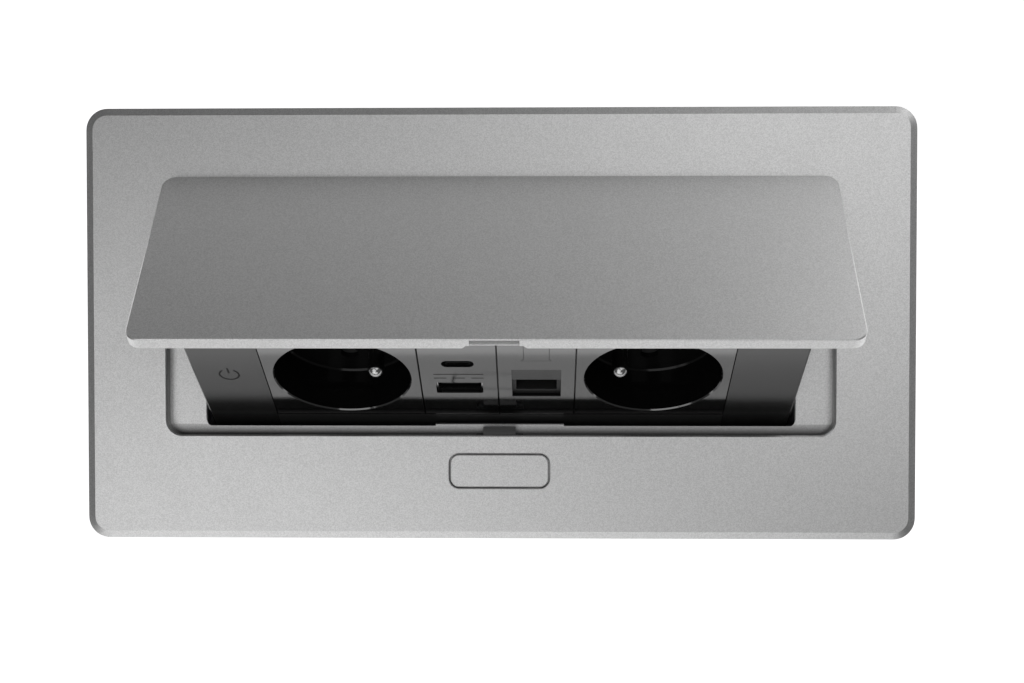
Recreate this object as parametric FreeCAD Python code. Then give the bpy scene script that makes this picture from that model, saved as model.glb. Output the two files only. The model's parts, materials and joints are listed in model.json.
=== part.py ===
"""Recessed desk power unit: a tilting block of sockets that rises out of a desk.

Millimetres, +X right, +Y to the back of the desk, +Z up.  The origin is the centre
of the desk cut-out on the desk's top surface, which the rim of the top plate rests on.
The tilting block is modelled closed, then turned open about its pivot, which is how
the unit is stored here.  Block pieces are drawn in the block's own frame: x across,
d into the block from its face, s down the face from the lid.
"""
import FreeCAD, Part
import math
import os

V = FreeCAD.Vector
X_AXIS = V(1, 0, 0)
Y_AXIS = V(0, 1, 0)
Z_AXIS = V(0, 0, 1)
SIDES = {"left": -1, "right": 1}

# ---- clearances ----
SHEET_GAP = 0.1            # between fixed neighbours
SLIDE_GAP = 0.3            # between moving neighbours
RUNNING_GAP = 0.05         # radial, shaft in bush
THREAD_GAP = 0.02          # radial, screw in its hole
MODULE_GAP = 0.14          # each side of a module

# ---- top plate ----
RIM_SIDE = 24.3            # rim beside the recess
RIM_FRONT = 31.4
RIM_REAR = 33.2
PLATE_CORNER_R = 6.5
RIM_T = 3.0
RIM_CHAMFER = 2.2
RIM_CHAMFER_DROP = 0.9
RECESS_DEPTH = 4.0
RECESS_CORNER_R = 4.6
RECESS_CHAMFER = 0.45
WELL_WALL = 1.6
OPENING_CORNER_R = 1.5
OPENING_SIDE_GAP = 1.45    # beside the block
OPENING_CHAMFER = 0.3
TAB_W = 39.0               # the ledge is a little deeper in the middle
TAB_PROUD = 0.75
FRONT_LEDGE = 2.45
SIDE_LEDGE = 11.3
OPENING_REAR_GAP = 2.86    # behind the open block

# ---- lid ----
LID_D = 64.4
LID_T = 3.6
LID_CORNER_R = 4.0
LID_SIDE_GAP = 0.3
LID_FRONT_GAP = 0.3
LID_REAR_GAP = 0.7
LID_EDGE_CHAMFER = 0.3
LID_SCREW_DEEP = 2.5

# ---- pivot ----
OPEN_ANGLE = 41.8
PIVOT_BEHIND_LID = 10.35
PIVOT_Z = -12.7
PIN_R = 3.0
PIN_REACH = 20.0           # inside the tub wall
PIN_HEAD_LIP = 1.5
PIN_HEAD_T = 1.5
BUSH_WALL = 1.0
BUSH_FLANGE_LIP = 0.95
BUSH_FLANGE_T = 0.8
BUSH_PROUD = 0.3
ARM_HALF_W = 7.0
ARM_OVERLAP = 8.0

# ---- tilting block ----
FACE_TILT = 9.3
FACE_SETBACK = 6.6         # behind the lid's front edge
FACE_FOOT = 7.4            # face below the modules
CAP_W = 20.45
CHEEK_T = 1.5
BASE_T = 1.1
FRAME_T = 4.6
CAP_LIP = 2.0
CAP_WALL = 1.8
CAP_CHAMFER = 0.5
MODULE_W = 45.0
MODULE_COUNT = 3
MODULE_TOP = 3.8
MODULE_T = 2.5
MODULE_CHAMFER = 0.12
COVER_WALL = 1.8
COVER_SIDE_GAP = 2.0
COVER_REAR_GAP = 0.74
COVER_CORNER_R = 2.0
LID_TAB_W = 8.4
LID_TAB_T = 1.2
LID_TAB_FRONT = 12.7       # behind the top of the face
LID_TAB_D = 32.0
LID_SCREW_SPACING = 20.0
LID_SCREW_EDGE = 1.0

# ---- socket ----
WELL_R = 19.7
WELL_DEPTH = 14.0
WELL_SKIN = 1.5
WELL_CHAMFER = 0.35
WELL_FLOOR_EDGE = 0.5
PIN_HOLE_R = 2.7
PIN_SPACING = 19.0
EARTH_R = 2.4
EARTH_OFFSET = 9.5
EARTH_TIP_S = 0.4          # tip below the face
SHUTTER_T = 1.4
SHUTTER_W = 8.0
SOCKET_BACK_W = 40.0
SOCKET_BACK_LOW = 17.5     # below the middle of the socket
SOCKET_BACK_GAP = 0.26     # under the rear cover
SOCKET_BACK_D = 15.0
SOCKET_POST = 2.0
SOCKET_POST_H = 8.0
POCKET = 7.4
POCKET_D = 11.0
CLIP = 7.0
CLIP_D = 10.0
CLIP_BORE_R = 2.35
CLIP_SLIT = 1.2
CLIP_FLOOR = 1.0

# ---- USB module, down the face from the module's middle ----
USB_C_W = 9.35
USB_C_H = 3.5
USB_C_AT = -7.76
USB_C_TONGUE_W = 6.7
USB_C_TONGUE_H = 0.7
USB_A_W = 13.7
USB_A_H = 6.2
USB_A_R = 0.6
USB_A_AT = 6.0
USB_A_TONGUE_W = 11.1
USB_A_TONGUE_H = 1.8
USB_BODY_W = 20.0
USB_BODY_FROM = -17.3
USB_BODY_TO = 19.7
USB_BODY_D = 24.0
USB_WALL = 1.2
PORT_SKIN = 0.4
PORT_INSET = 1.2
TONGUE_INSET = 2.0
BOARD_T = 1.6
BOARD_D = 15.0
BOARD_EDGE = 2.0

# ---- network module, down the face from the module's middle ----
JACK_W = 14.3
JACK_FROM = -4.5
JACK_TO = 11.2
JACK_LIP = 1.0
JACK_D = 18.0
PORT_W = 11.9
PORT_FROM = 1.3
PORT_TO = 9.0
PORT_D = 14.0
NET_SKIN = 0.5             # in front of the shutter
NET_SHUTTER_T = 0.6
NET_SHUTTER_FROM = -14.4
NET_SHUTTER_TO = 2.2
NET_SHUTTER_RISE = 7.0
CONTACT_COUNT = 8
CONTACT_PITCH = 1.02
CONTACT_W = 0.4
CONTACT_H = 0.6
CONTACT_INSET = 2.0

# ---- housing ----
TUB_SIDE_GAP = 0.6         # beside the opening
TUB_FRONT_GAP = 1.37       # in front of the block's swing
TUB_FLOOR_GAP = 1.94       # under the closed block
TUB_BEHIND_PIVOT = 13.55
TUB_T = 1.2
TUB_BEND_R = 2.0
TUB_TAB_W = 12.0
TUB_TAB_INSET_FRONT = 8.2
TUB_TAB_INSET_REAR = 10.0
BOSS_R = 3.5
BOSS_H = 5.0
BOSS_GAP = 0.7
GROMMET_R = 10.0
GROMMET_BORE_R = 7.0
GROMMET_LIP = 1.5
GROMMET_RISE = 13.0        # above the tub's floor

# ---- screws ----
SCREW_R = 1.45
SCREW_HEAD_R = 2.75
SCREW_HEAD_T = 1.8

# ---- damper and gears ----
GEAR_MODULE = 0.5
SECTOR_TEETH = 56          # on a full circle
PINION_TEETH = 16
GEAR_T = 3.0
GEAR_FROM_ARM = 4.0
MESH_GAP = 0.2
SECTOR_FROM = -150.0
SECTOR_TO = -40.0
SECTOR_BORE_GAP = 1.0
SECTOR_BOSS_R = 2.5
SECTOR_BOSS_AT = 9.5
SECTOR_BOSS_SPREAD = 20.0
DAMPER_R = 7.0
DAMPER_L = 8.0
DAMPER_EAR_AT = 9.6
DAMPER_EAR_R = 2.6
DAMPER_EAR_T = 2.0
DAMPER_SCREW_HEAD_R = 2.45
DAMPER_SHAFT_R = 1.6
DAMPER_BRACKET_T = 1.2
DAMPER_BRACKET_GAP = 1.0
DAMPER_FOOT = 12.0

# ---- torsion springs ----
SPRING_WIRE_R = 0.7
SPRING_BORE_GAP = 0.9
SPRING_TURNS = 5
SPRING_PITCH = 1.8
SPRING_INSET = 1.5
SPRING_LEG = 11.0
SPRING_REAR_GAP = 0.5

# ---- button and latch ----
BUTTON_W = 30.3
BUTTON_D = 10.5
BUTTON_R = 3.0
BUTTON_SETBACK = 8.75      # in front of the latch slide's rear edge
BUTTON_GAP = 0.35
BUTTON_EDGE = 0.25
BUTTON_FLANGE = 1.4
BUTTON_FLANGE_T = 1.2
BUTTON_TRAVEL = 2.0
TRAVEL_SPARE = 0.5
STEM_HALF_W = 7.0
STEM_BELOW = 2.5           # under the slide
STEM_BACK = 1.95           # behind the button's middle
CAM_FORWARD = 2.85         # in front of the button's middle
SLIDE_T = 2.0
SLIDE_HALF_W = 11.0
SLIDE_FRONT = 3.7          # in front of the cam
LATCH_GAP = 0.5            # in front of the tub and of the recess
TONGUE_W = 9.8
TONGUE_REACH = 2.4         # into the recess
TONGUE_DROP = 0.7          # under the rim's top
TONGUE_T = 1.2
TONGUE_BEVEL = 0.4
TONGUE_BEVEL_FROM = 0.6
TONGUE_NOTCH_W = 14.4
TONGUE_NOTCH_DROP = 0.5
RISER_T = 1.0
KEEPER_W = 13.6
KEEPER_DEPTH = 2.4
KEEPER_SKIN = 0.4
KEEPER_SLOT = 1.7
KEEPER_REACH = 1.5
KEEPER_FLARE = 1.0
BRACKET_SIDE = 2.35        # beside the button hole
BRACKET_T = 1.2
BRACKET_SHELF_LAP = 2.0
SPRING_ROOM = 5.5          # under the stem
SPRING_NOSE = 5.0          # in front of the slide
BRACKET_SCREW_OUT = 4.5
BRACKET_SCREW_FORWARD = 0.55
BRACKET_EAR_OUT = 3.0
BRACKET_EAR_HALF_D = 5.0
COIL_WIRE_R = 0.3
COIL_TURNS = 3
BUTTON_COIL_R = 2.2
LATCH_COIL_R = 1.5

# ---- desk clamps ----
STUD_GAP = 1.2
STUD_R = 2.5
STUD_BELOW = 23.0          # under the desk
STUD_BOSS_R = 4.5
STUD_BOSS_H = 4.0
STUD_DEEP = 1.5
DESK_T = 25.0
CLAMP_PAD_T = 1.5
CLAMP_PAD_W = 9.0
CLAMP_PAD_EDGE = 0.5
CLAMP_PAD_SIDE = 1.0
CLAMP_T = 2.0
CLAMP_RIB = 4.0
CLAMP_INWARD = 7.0
CLAMP_HALF_D = 8.0
CLAMP_HOLE_R = 2.7
NUT_R = 4.5
NUT_H = 6.0
NUT_WING_REACH = 5.5
NUT_WING_FOOT = 3.5
NUT_WING_TOP = 2.0
NUT_WING_DROP = 4.0
NUT_WING_T = 2.0

# ---- rubber ----
GASKET_INSET = 2.5
GASKET_W = 2.0
GASKET_T = 0.8
BUMPER_R = 1.6
BUMPER_T = 0.3
BUMPER_INSET = 2.4
STOP_GAP = 0.2             # over the open arms
STOP_INSET = 2.0

# ---- glands ----
MAINS_GLAND_X = 30.0
DATA_GLAND_X = -30.0
GLAND_RISE = 15.72         # above the block's base
MAINS_GLAND_R = 8.0
MAINS_CABLE_R = 4.2
DATA_GLAND_R = 6.0
DATA_CABLE_R = 3.1
GLAND_NUT_T = 4.0
GLAND_NUT_SHARE = 1.35
GLAND_DOME_FOOT = 1.1
GLAND_DOME_TIP = 0.8
GLAND_DOME_L = 10.0

# ---- wiring inside the block ----
BAR_T = 0.8
BAR_HALF_H = 2.0
BAR_AT = 3.0
BAR_PAST = 8.0
TERMINAL_HALF_W = 12.0
TERMINAL_HALF_H = 7.0
TERMINAL_D = 6.0
TERMINAL_PITCH = 8.0
TERMINAL_HOLE_R = 1.8

# ---- worked-out sizes across the unit ----
MODULES_HALF_W = MODULE_COUNT * MODULE_W / 2
BLOCK_HALF_W = MODULES_HALF_W + CAP_W
OPENING_HALF_W = BLOCK_HALF_W + OPENING_SIDE_GAP
RECESS_HALF_W = OPENING_HALF_W + SIDE_LEDGE
LID_HALF_W = RECESS_HALF_W - LID_SIDE_GAP
PLATE_HALF_W = RECESS_HALF_W + RIM_SIDE
CHEEK_OUT_X = BLOCK_HALF_W - SHEET_GAP / 2
CHEEK_IN_X = CHEEK_OUT_X - CHEEK_T
COVER_HALF_W = CHEEK_IN_X - LID_TAB_W - COVER_SIDE_GAP
TUB_INNER_X = OPENING_HALF_W + TUB_SIDE_GAP
PIN_INNER_X = TUB_INNER_X - PIN_REACH
GEAR_X = CHEEK_IN_X - GEAR_FROM_ARM
BOSS_X = RECESS_HALF_W + WELL_WALL + BOSS_R + BOSS_GAP
TUB_TAB_X = BOSS_X + BOSS_R
STUD_X = RECESS_HALF_W + WELL_WALL + STUD_BOSS_R + STUD_GAP
CLAMP_IN_X = STUD_X - CLAMP_INWARD
CLAMP_OUT_X = PLATE_HALF_W
BRACKET_HALF_W = BUTTON_W / 2 + BRACKET_SIDE
BRACKET_SCREW_X = BRACKET_HALF_W + BRACKET_SCREW_OUT
BRACKET_EAR = BRACKET_SCREW_X + BRACKET_EAR_OUT

# ---- worked-out sizes down the face ----
SOCKET_X = MODULE_W
SOCKET_S = MODULE_TOP + MODULE_W / 2
FACE_H = MODULE_TOP + MODULE_W + FACE_FOOT
SHUTTER_D = WELL_DEPTH + WELL_SKIN + SHEET_GAP
BACK_D = SHUTTER_D + SHUTTER_T + SLIDE_GAP
BAR_D = BACK_D + SOCKET_BACK_D + SHEET_GAP
TERMINAL_FRONT_D = BAR_D + BAR_T + SHEET_GAP

# ---- worked-out levels ----
LEDGE_TOP = RIM_T - RECESS_DEPTH
LEDGE_BOTTOM = LEDGE_TOP - WELL_WALL
LID_UNDER = RIM_T - LID_T
BLOCK_TOP_Z = LID_UNDER - SHEET_GAP
COVER_TOP_Z = BLOCK_TOP_Z - LID_TAB_T - SHEET_GAP
PINION_R = GEAR_MODULE * PINION_TEETH / 2
SECTOR_R = GEAR_MODULE * SECTOR_TEETH / 2
PINION_Z = PIVOT_Z - SECTOR_R - PINION_R - MESH_GAP
CLAMP_Z = -DESK_T - CLAMP_PAD_T
SLIDE_TOP = -SLIDE_GAP - BUTTON_FLANGE_T - BUTTON_TRAVEL - TRAVEL_SPARE
STEM_BOTTOM = SLIDE_TOP - SLIDE_T - STEM_BELOW
BRACKET_FLOOR = STEM_BOTTOM - SPRING_ROOM
TONGUE_TOP = RIM_T - TONGUE_DROP

# ---- worked-out sizes front to back ----
RECESS_D = LID_FRONT_GAP + LID_D + LID_REAR_GAP
PLATE_HALF_D = (RIM_FRONT + RECESS_D + RIM_REAR) / 2
RECESS_FRONT_Y = RIM_FRONT - PLATE_HALF_D
RECESS_REAR_Y = RECESS_FRONT_Y + RECESS_D
LID_FRONT_Y = RECESS_FRONT_Y + LID_FRONT_GAP
LID_REAR_Y = RECESS_REAR_Y - LID_REAR_GAP
OPENING_FRONT_Y = RECESS_FRONT_Y + FRONT_LEDGE
FACE_TOP_Y = LID_FRONT_Y + FACE_SETBACK
PIVOT_Y = LID_REAR_Y + PIVOT_BEHIND_LID
TUB_REAR_Y = PIVOT_Y + TUB_BEHIND_PIVOT


def face_point(d, s):
    """Closed (y, z) of a point d into the block and s down its face."""
    a = math.radians(FACE_TILT)
    y = FACE_TOP_Y + s * math.sin(a) + d * math.cos(a)
    z = LID_UNDER - s * math.cos(a) + d * math.sin(a)
    return y, z


def face_level_s(d, z):
    """How far down the face a closed point d into the block lies at a level."""
    a = math.radians(FACE_TILT)
    return (LID_UNDER + d * math.sin(a) - z) / math.cos(a)


def open_rear_y(z):
    """Where the open block's back stands at a level."""
    a = math.radians(OPEN_ANGLE)
    reach = PIVOT_Y - BLOCK_REAR_Y
    rise = (z - PIVOT_Z - reach * math.sin(a)) / math.cos(a)
    return PIVOT_Y - reach * math.cos(a) + rise * math.sin(a)


FOOT_Y, FOOT_Z = face_point(0, FACE_H)
BASE_Z = face_point(CAP_LIP + SHEET_GAP, FACE_H)[1]
BLOCK_REAR_Y = (face_point(TERMINAL_FRONT_D + TERMINAL_D, SOCKET_S + TERMINAL_HALF_H)[0]
                + COVER_REAR_GAP + COVER_WALL)
OPENING_REAR_Y = open_rear_y(LEDGE_TOP) + OPENING_REAR_GAP
BACK_TOP_S = face_level_s(BACK_D + SOCKET_BACK_D, COVER_TOP_Z - COVER_WALL - SOCKET_BACK_GAP)
GLAND_Z = BASE_Z + GLAND_RISE
TUB_FRONT_Y = PIVOT_Y - math.hypot(PIVOT_Y - FOOT_Y, PIVOT_Z - FOOT_Z) - TUB_FRONT_GAP
TUB_FLOOR_Z = FOOT_Z - TUB_FLOOR_GAP
TUB_TAB_YS = (TUB_FRONT_Y + TUB_TAB_INSET_FRONT, TUB_REAR_Y - TUB_TAB_INSET_REAR)
GROMMET_Z = TUB_FLOOR_Z + GROMMET_RISE
SLIDE_REAR_Y = min(TUB_FRONT_Y - TUB_T, RECESS_FRONT_Y - WELL_WALL) - LATCH_GAP
BUTTON_Y = SLIDE_REAR_Y - BUTTON_SETBACK
CAM_Y = BUTTON_Y - CAM_FORWARD
STEM_REAR_Y = BUTTON_Y + STEM_BACK
WINDOW_REAR_Y = STEM_REAR_Y + BUTTON_TRAVEL + TRAVEL_SPARE
SLIDE_FRONT_Y = CAM_Y - SLIDE_FRONT
RISER_FRONT_Y = SLIDE_REAR_Y - RISER_T
BRACKET_FRONT_Y = SLIDE_FRONT_Y - SPRING_NOSE
BRACKET_REAR_Y = SLIDE_REAR_Y + SHEET_GAP
BRACKET_SCREW_Y = BUTTON_Y - BRACKET_SCREW_FORWARD
TONGUE_TIP_Y = RECESS_FRONT_Y + TONGUE_REACH


# ---- shape helpers ----
def box(x0, x1, y0, y1, z0, z1):
    """A box between two corners."""
    return Part.makeBox(x1 - x0, y1 - y0, z1 - z0, V(x0, y0, z0))


def rod(r, length, start, direction=Z_AXIS):
    """A round rod from a start point."""
    return Part.makeCylinder(r, length, start, direction)


def rounded_face(x0, x1, y0, y1, r):
    """A flat rectangle with round corners at z = 0."""
    wire = Part.makePolygon([V(x0, y0, 0), V(x1, y0, 0), V(x1, y1, 0), V(x0, y1, 0), V(x0, y0, 0)])
    solid = Part.Face(wire).extrude(V(0, 0, 1))
    edges = [e for e in solid.Edges if abs(e.tangentAt(e.FirstParameter).z) > 0.9]
    solid = solid.makeFillet(r, edges)
    return [f for f in solid.Faces if f.CenterOfMass.z < 1e-6][0]


def rounded_box(x0, x1, y0, y1, z0, z1, r):
    """A box whose upright edges are round."""
    block = box(x0, x1, y0, y1, z0, z1)
    edges = [e for e in block.Edges if abs(e.tangentAt(e.FirstParameter).z) > 0.9]
    return block.makeFillet(r, edges)


def eased(shape, size, chosen):
    """Chamfer the edges for which chosen(edge) is true."""
    edges = [e for e in shape.Edges if chosen(e)]
    return shape.makeChamfer(size, edges)


def on_face(edge):
    """Whether an edge lies on the front of the face frame."""
    return edge.BoundBox.YMax < 1e-6


def prism(points, x0, x1):
    """A prism along X of an outline given as (y, z) points."""
    corners = [V(x0, y, z) for y, z in points]
    wire = Part.makePolygon(corners + corners[:1])
    return Part.Face(wire).extrude(V(x1 - x0, 0, 0))


def mirrored(shape):
    """The same piece on the other side of the middle plane."""
    return shape.mirror(V(0, 0, 0), X_AXIS)


def both_sides(shape):
    """A piece and its mirror image, as two solids."""
    return [shape, mirrored(shape)]


def screw(x, y, z, length, up=True):
    """A pan-head screw whose head seats at z, pointing up or down."""
    way = V(0, 0, 1 if up else -1)
    head = rod(SCREW_HEAD_R, SCREW_HEAD_T, V(x, y, z) - way * SCREW_HEAD_T, way)
    drive = rod(SCREW_HEAD_R / 2, SCREW_HEAD_T / 2, V(x, y, z) - way * SCREW_HEAD_T, way)
    shank = rod(SCREW_R, length, V(x, y, z), way)
    return head.cut(drive).fuse(shank).removeSplitter()


def coil(r, wire_r, pitch, turns, start, direction):
    """A helical spring about a line from a start point."""
    helix = Part.makeHelix(pitch, pitch * turns, r)
    section = Part.Wire([Part.makeCircle(wire_r, V(r, 0, 0), Y_AXIS)])
    body = Part.Wire(helix.Edges).makePipeShell([section], True, True)
    turn = FreeCAD.Rotation(Z_AXIS, direction)
    body.Placement = FreeCAD.Placement(start, turn)
    return body


# ---- frames of the tilting block ----
def closed(shape):
    """From the face frame (x, d, -s) to the closed block."""
    out = shape.copy()
    out.rotate(V(0, 0, 0), X_AXIS, FACE_TILT)
    out.translate(V(0, FACE_TOP_Y, LID_UNDER))
    return out


def opened(shape):
    """Turn a closed block piece open about the pivot."""
    out = shape.copy()
    out.rotate(V(0, PIVOT_Y, PIVOT_Z), X_AXIS, -OPEN_ANGLE)
    return out


def face_box(x0, x1, d0, d1, s0, s1):
    """A box in the face frame."""
    return box(x0, x1, d0, d1, -s1, -s0)


def below(shape, z):
    """The part of a closed shape that lies under a level."""
    w, d = 2 * PLATE_HALF_W, 2 * PLATE_HALF_D
    return shape.common(box(-w, w, -d, d, -d, z))


def save(node, shape):
    """Write a node, as one solid or as a group of separate solids."""
    shapes = shape if isinstance(shape, list) else [shape]
    solids = [solid for item in shapes for solid in item.Solids]
    out = solids[0] if len(solids) == 1 else Part.makeCompound(solids)
    if not out.isValid():
        print("not valid:", node)
    out.exportStep("parts/%s.step" % node)


# ---- fixed pieces ----
def tub_screw_places():
    """Where the housing is screwed to the plate."""
    return [(side * BOSS_X, y) for side in (-1, 1) for y in TUB_TAB_YS]


def make_top_plate():
    """Rim, recess for the lid, opening, button hole and latch window."""
    w, d = PLATE_HALF_W, PLATE_HALF_D
    plate = rounded_box(-w, w, -d, d, 0, RIM_T, PLATE_CORNER_R)
    top = [f for f in plate.Faces if f.CenterOfMass.z > RIM_T - 0.01][0]
    inner = rounded_face(-w + RIM_CHAMFER, w - RIM_CHAMFER, -d + RIM_CHAMFER, d - RIM_CHAMFER,
                         PLATE_CORNER_R - RIM_CHAMFER)
    inner.translate(V(0, 0, RIM_T))
    base = top.OuterWire.copy()
    base.translate(V(0, 0, -RIM_CHAMFER_DROP))
    crown = Part.makeLoft([base, inner.OuterWire], True, True)
    plate = box(-w, w, -d, d, 0, RIM_T - RIM_CHAMFER_DROP).common(plate).fuse(crown)
    well = rounded_box(-RECESS_HALF_W - WELL_WALL, RECESS_HALF_W + WELL_WALL,
                       RECESS_FRONT_Y - WELL_WALL, RECESS_REAR_Y + WELL_WALL,
                       LEDGE_BOTTOM, RIM_T, RECESS_CORNER_R + WELL_WALL)
    plate = plate.fuse(well)
    recess = rounded_box(-RECESS_HALF_W, RECESS_HALF_W, RECESS_FRONT_Y, RECESS_REAR_Y,
                         LEDGE_TOP, RIM_T, RECESS_CORNER_R)
    plate = plate.cut(recess)
    low = rounded_face(-RECESS_HALF_W, RECESS_HALF_W, RECESS_FRONT_Y, RECESS_REAR_Y, RECESS_CORNER_R)
    low.translate(V(0, 0, RIM_T - RECESS_CHAMFER))
    g = RECESS_CHAMFER
    high = rounded_face(-RECESS_HALF_W - g, RECESS_HALF_W + g, RECESS_FRONT_Y - g, RECESS_REAR_Y + g,
                        RECESS_CORNER_R + g)
    high.translate(V(0, 0, RIM_T))
    plate = plate.cut(Part.makeLoft([low.OuterWire, high.OuterWire], True, True))
    opening = rounded_box(-OPENING_HALF_W, OPENING_HALF_W, OPENING_FRONT_Y, OPENING_REAR_Y,
                          LEDGE_BOTTOM, LEDGE_TOP, OPENING_CORNER_R)
    tab = box(-TAB_W / 2, TAB_W / 2, OPENING_FRONT_Y, OPENING_FRONT_Y + TAB_PROUD,
              LEDGE_BOTTOM, LEDGE_TOP)
    plate = plate.cut(opening.cut(tab)).cut(button_hole()).cut(latch_window()).cut(gasket_ring(0))
    c = OPENING_CHAMFER
    flat = rounded_face(-OPENING_HALF_W, OPENING_HALF_W, OPENING_FRONT_Y + TAB_PROUD, OPENING_REAR_Y,
                        OPENING_CORNER_R)
    flat.translate(V(0, 0, LEDGE_TOP - c))
    wide = rounded_face(-OPENING_HALF_W - c, OPENING_HALF_W + c, OPENING_FRONT_Y + TAB_PROUD - c,
                        OPENING_REAR_Y + c, OPENING_CORNER_R + c)
    wide.translate(V(0, 0, LEDGE_TOP))
    plate = plate.cut(Part.makeLoft([flat.OuterWire, wide.OuterWire], True, True))
    for x, y in tub_screw_places():
        plate = plate.fuse(rod(BOSS_R, BOSS_H, V(x, y, -BOSS_H)))
        plate = plate.cut(rod(SCREW_R + THREAD_GAP, BOSS_H + 1, V(x, y, -BOSS_H)))
    for side in (-1, 1):
        x = side * STUD_X
        plate = plate.fuse(rod(STUD_BOSS_R, STUD_BOSS_H, V(x, 0, -STUD_BOSS_H)))
        plate = plate.cut(rod(STUD_R + THREAD_GAP, STUD_BOSS_H + STUD_DEEP, V(x, 0, -STUD_BOSS_H)))
        hole = rod(SCREW_R + THREAD_GAP, RIM_T / 2, V(side * BRACKET_SCREW_X, BRACKET_SCREW_Y, 0))
        plate = plate.cut(hole)
    save("top_plate", plate.removeSplitter())


def button_hole():
    """The button's hole with an eased top edge."""
    w, d, c = BUTTON_W / 2, BUTTON_D / 2, BUTTON_EDGE
    hole = rounded_box(-w, w, BUTTON_Y - d, BUTTON_Y + d, 0, RIM_T, BUTTON_R)
    flat = rounded_face(-w, w, BUTTON_Y - d, BUTTON_Y + d, BUTTON_R)
    flat.translate(V(0, 0, RIM_T - c))
    wide = rounded_face(-w - c, w + c, BUTTON_Y - d - c, BUTTON_Y + d + c, BUTTON_R + c)
    wide.translate(V(0, 0, RIM_T))
    return hole.fuse(Part.makeLoft([flat.OuterWire, wide.OuterWire], True, True))


def latch_window():
    """The way through the recess wall and the rim's underside for the latch's tongue."""
    n = TONGUE_NOTCH_W / 2
    top = RIM_T - TONGUE_NOTCH_DROP
    window = box(-n, n, RECESS_FRONT_Y - WELL_WALL, RECESS_FRONT_Y, LEDGE_TOP, top)
    return window.fuse(box(-n, n, RISER_FRONT_Y - BUTTON_TRAVEL - SLIDE_GAP, RECESS_FRONT_Y, 0, top))


def gasket_ring(gap):
    """The ring that the gasket fills under the rim, less a gap."""
    w = PLATE_HALF_W - GASKET_INSET
    d = PLATE_HALF_D - GASKET_INSET
    out = rounded_box(-w + gap, w - gap, -d + gap, d - gap, 0, GASKET_T - gap, PLATE_CORNER_R)
    w -= GASKET_W
    d -= GASKET_W
    return out.cut(rounded_box(-w - gap, w + gap, -d - gap, d + gap, 0, GASKET_T, PLATE_CORNER_R))


def make_desk_gasket():
    """Foam seal in its groove under the rim."""
    save("desk_gasket", gasket_ring(SHEET_GAP))


def tub_form(skin, top):
    """The tub's inside grown by a skin, with its bends round."""
    x, low = TUB_INNER_X + skin, TUB_FLOOR_Z - skin
    form = box(-x, x, TUB_FRONT_Y - skin, TUB_REAR_Y + skin, low, top)
    bends = [e for e in form.Edges if e.BoundBox.ZMin < low + 1e-6 and e.BoundBox.ZMax < top - 1e-6]
    return form.makeFillet(TUB_BEND_R + skin, bends)


def make_housing():
    """Folded sheet tub with screw tabs, pin holes and a cable hole."""
    x, t = TUB_INNER_X, TUB_T
    side_top = LEDGE_BOTTOM
    outer = tub_form(t, side_top)
    tub = outer.cut(tub_form(0, side_top))
    tab_top = -BOSS_H
    for px, py in tub_screw_places():
        inner = x if px > 0 else -TUB_TAB_X
        outer_x = TUB_TAB_X if px > 0 else -x
        tab = box(inner + (t if px > 0 else 0), outer_x - (0 if px > 0 else t),
                  py - TUB_TAB_W / 2, py + TUB_TAB_W / 2, tab_top - t, tab_top)
        tub = tub.fuse(tab)
        tub = tub.cut(rod(SCREW_R + THREAD_GAP, t, V(px, py, tab_top - t)))
    for side in (-1, 1):
        start = V(side * x, PIVOT_Y, PIVOT_Z)
        tub = tub.cut(rod(PIN_R + THREAD_GAP, t, start, V(side, 0, 0)))
    tub = tub.cut(rod(GROMMET_R, t, V(0, TUB_REAR_Y, GROMMET_Z), Y_AXIS))
    save("housing", tub.removeSplitter())


def make_housing_screws():
    """Screws that hold the tub to the plate."""
    level = -BOSS_H - TUB_T
    save("housing_screws", [screw(x, y, level, BOSS_H + TUB_T) for x, y in tub_screw_places()])


def make_cable_grommet():
    """Rubber ring in the cable hole of the tub."""
    lip = GROMMET_LIP
    y = TUB_REAR_Y
    centre = V(0, y - lip, GROMMET_Z)
    body = rod(GROMMET_R - THREAD_GAP, TUB_T + 2 * lip, centre, Y_AXIS)
    for start in (y - lip, y + TUB_T):
        body = body.fuse(rod(GROMMET_R + lip, lip, V(0, start, GROMMET_Z), Y_AXIS))
    body = body.cut(rod(GROMMET_BORE_R, TUB_T + 2 * lip, centre, Y_AXIS))
    save("cable_grommet", body.removeSplitter())


def make_pivot_pins():
    """Headed pins through the tub walls."""
    length = TUB_INNER_X + TUB_T - PIN_INNER_X
    pin = rod(PIN_R, length, V(PIN_INNER_X, PIVOT_Y, PIVOT_Z), X_AXIS)
    head = rod(PIN_R + PIN_HEAD_LIP, PIN_HEAD_T, V(TUB_INNER_X + TUB_T, PIVOT_Y, PIVOT_Z), X_AXIS)
    save("pivot_pins", both_sides(pin.fuse(head).removeSplitter()))


def make_torsion_springs():
    """Springs that lift the block, wound round the pins."""
    coil_r = PIN_R + SPRING_BORE_GAP + SPRING_WIRE_R
    centre = V(PIN_INNER_X + SPRING_INSET, PIVOT_Y, PIVOT_Z)
    body = coil(coil_r, SPRING_WIRE_R, SPRING_PITCH, SPRING_TURNS, centre, X_AXIS)
    reach = TUB_REAR_Y - PIVOT_Y - SPRING_REAR_GAP
    rear_leg = rod(SPRING_WIRE_R, reach, centre + V(0, 0, -coil_r), Y_AXIS)
    end = centre + V(SPRING_TURNS * SPRING_PITCH, 0, -coil_r)
    front_leg = rod(SPRING_WIRE_R, SPRING_LEG, end, V(0, -1, 0))
    spring = body.Solids[0].fuse(rear_leg).fuse(front_leg)
    save("torsion_spring_right", spring)
    save("torsion_spring_left", mirrored(spring))


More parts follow.
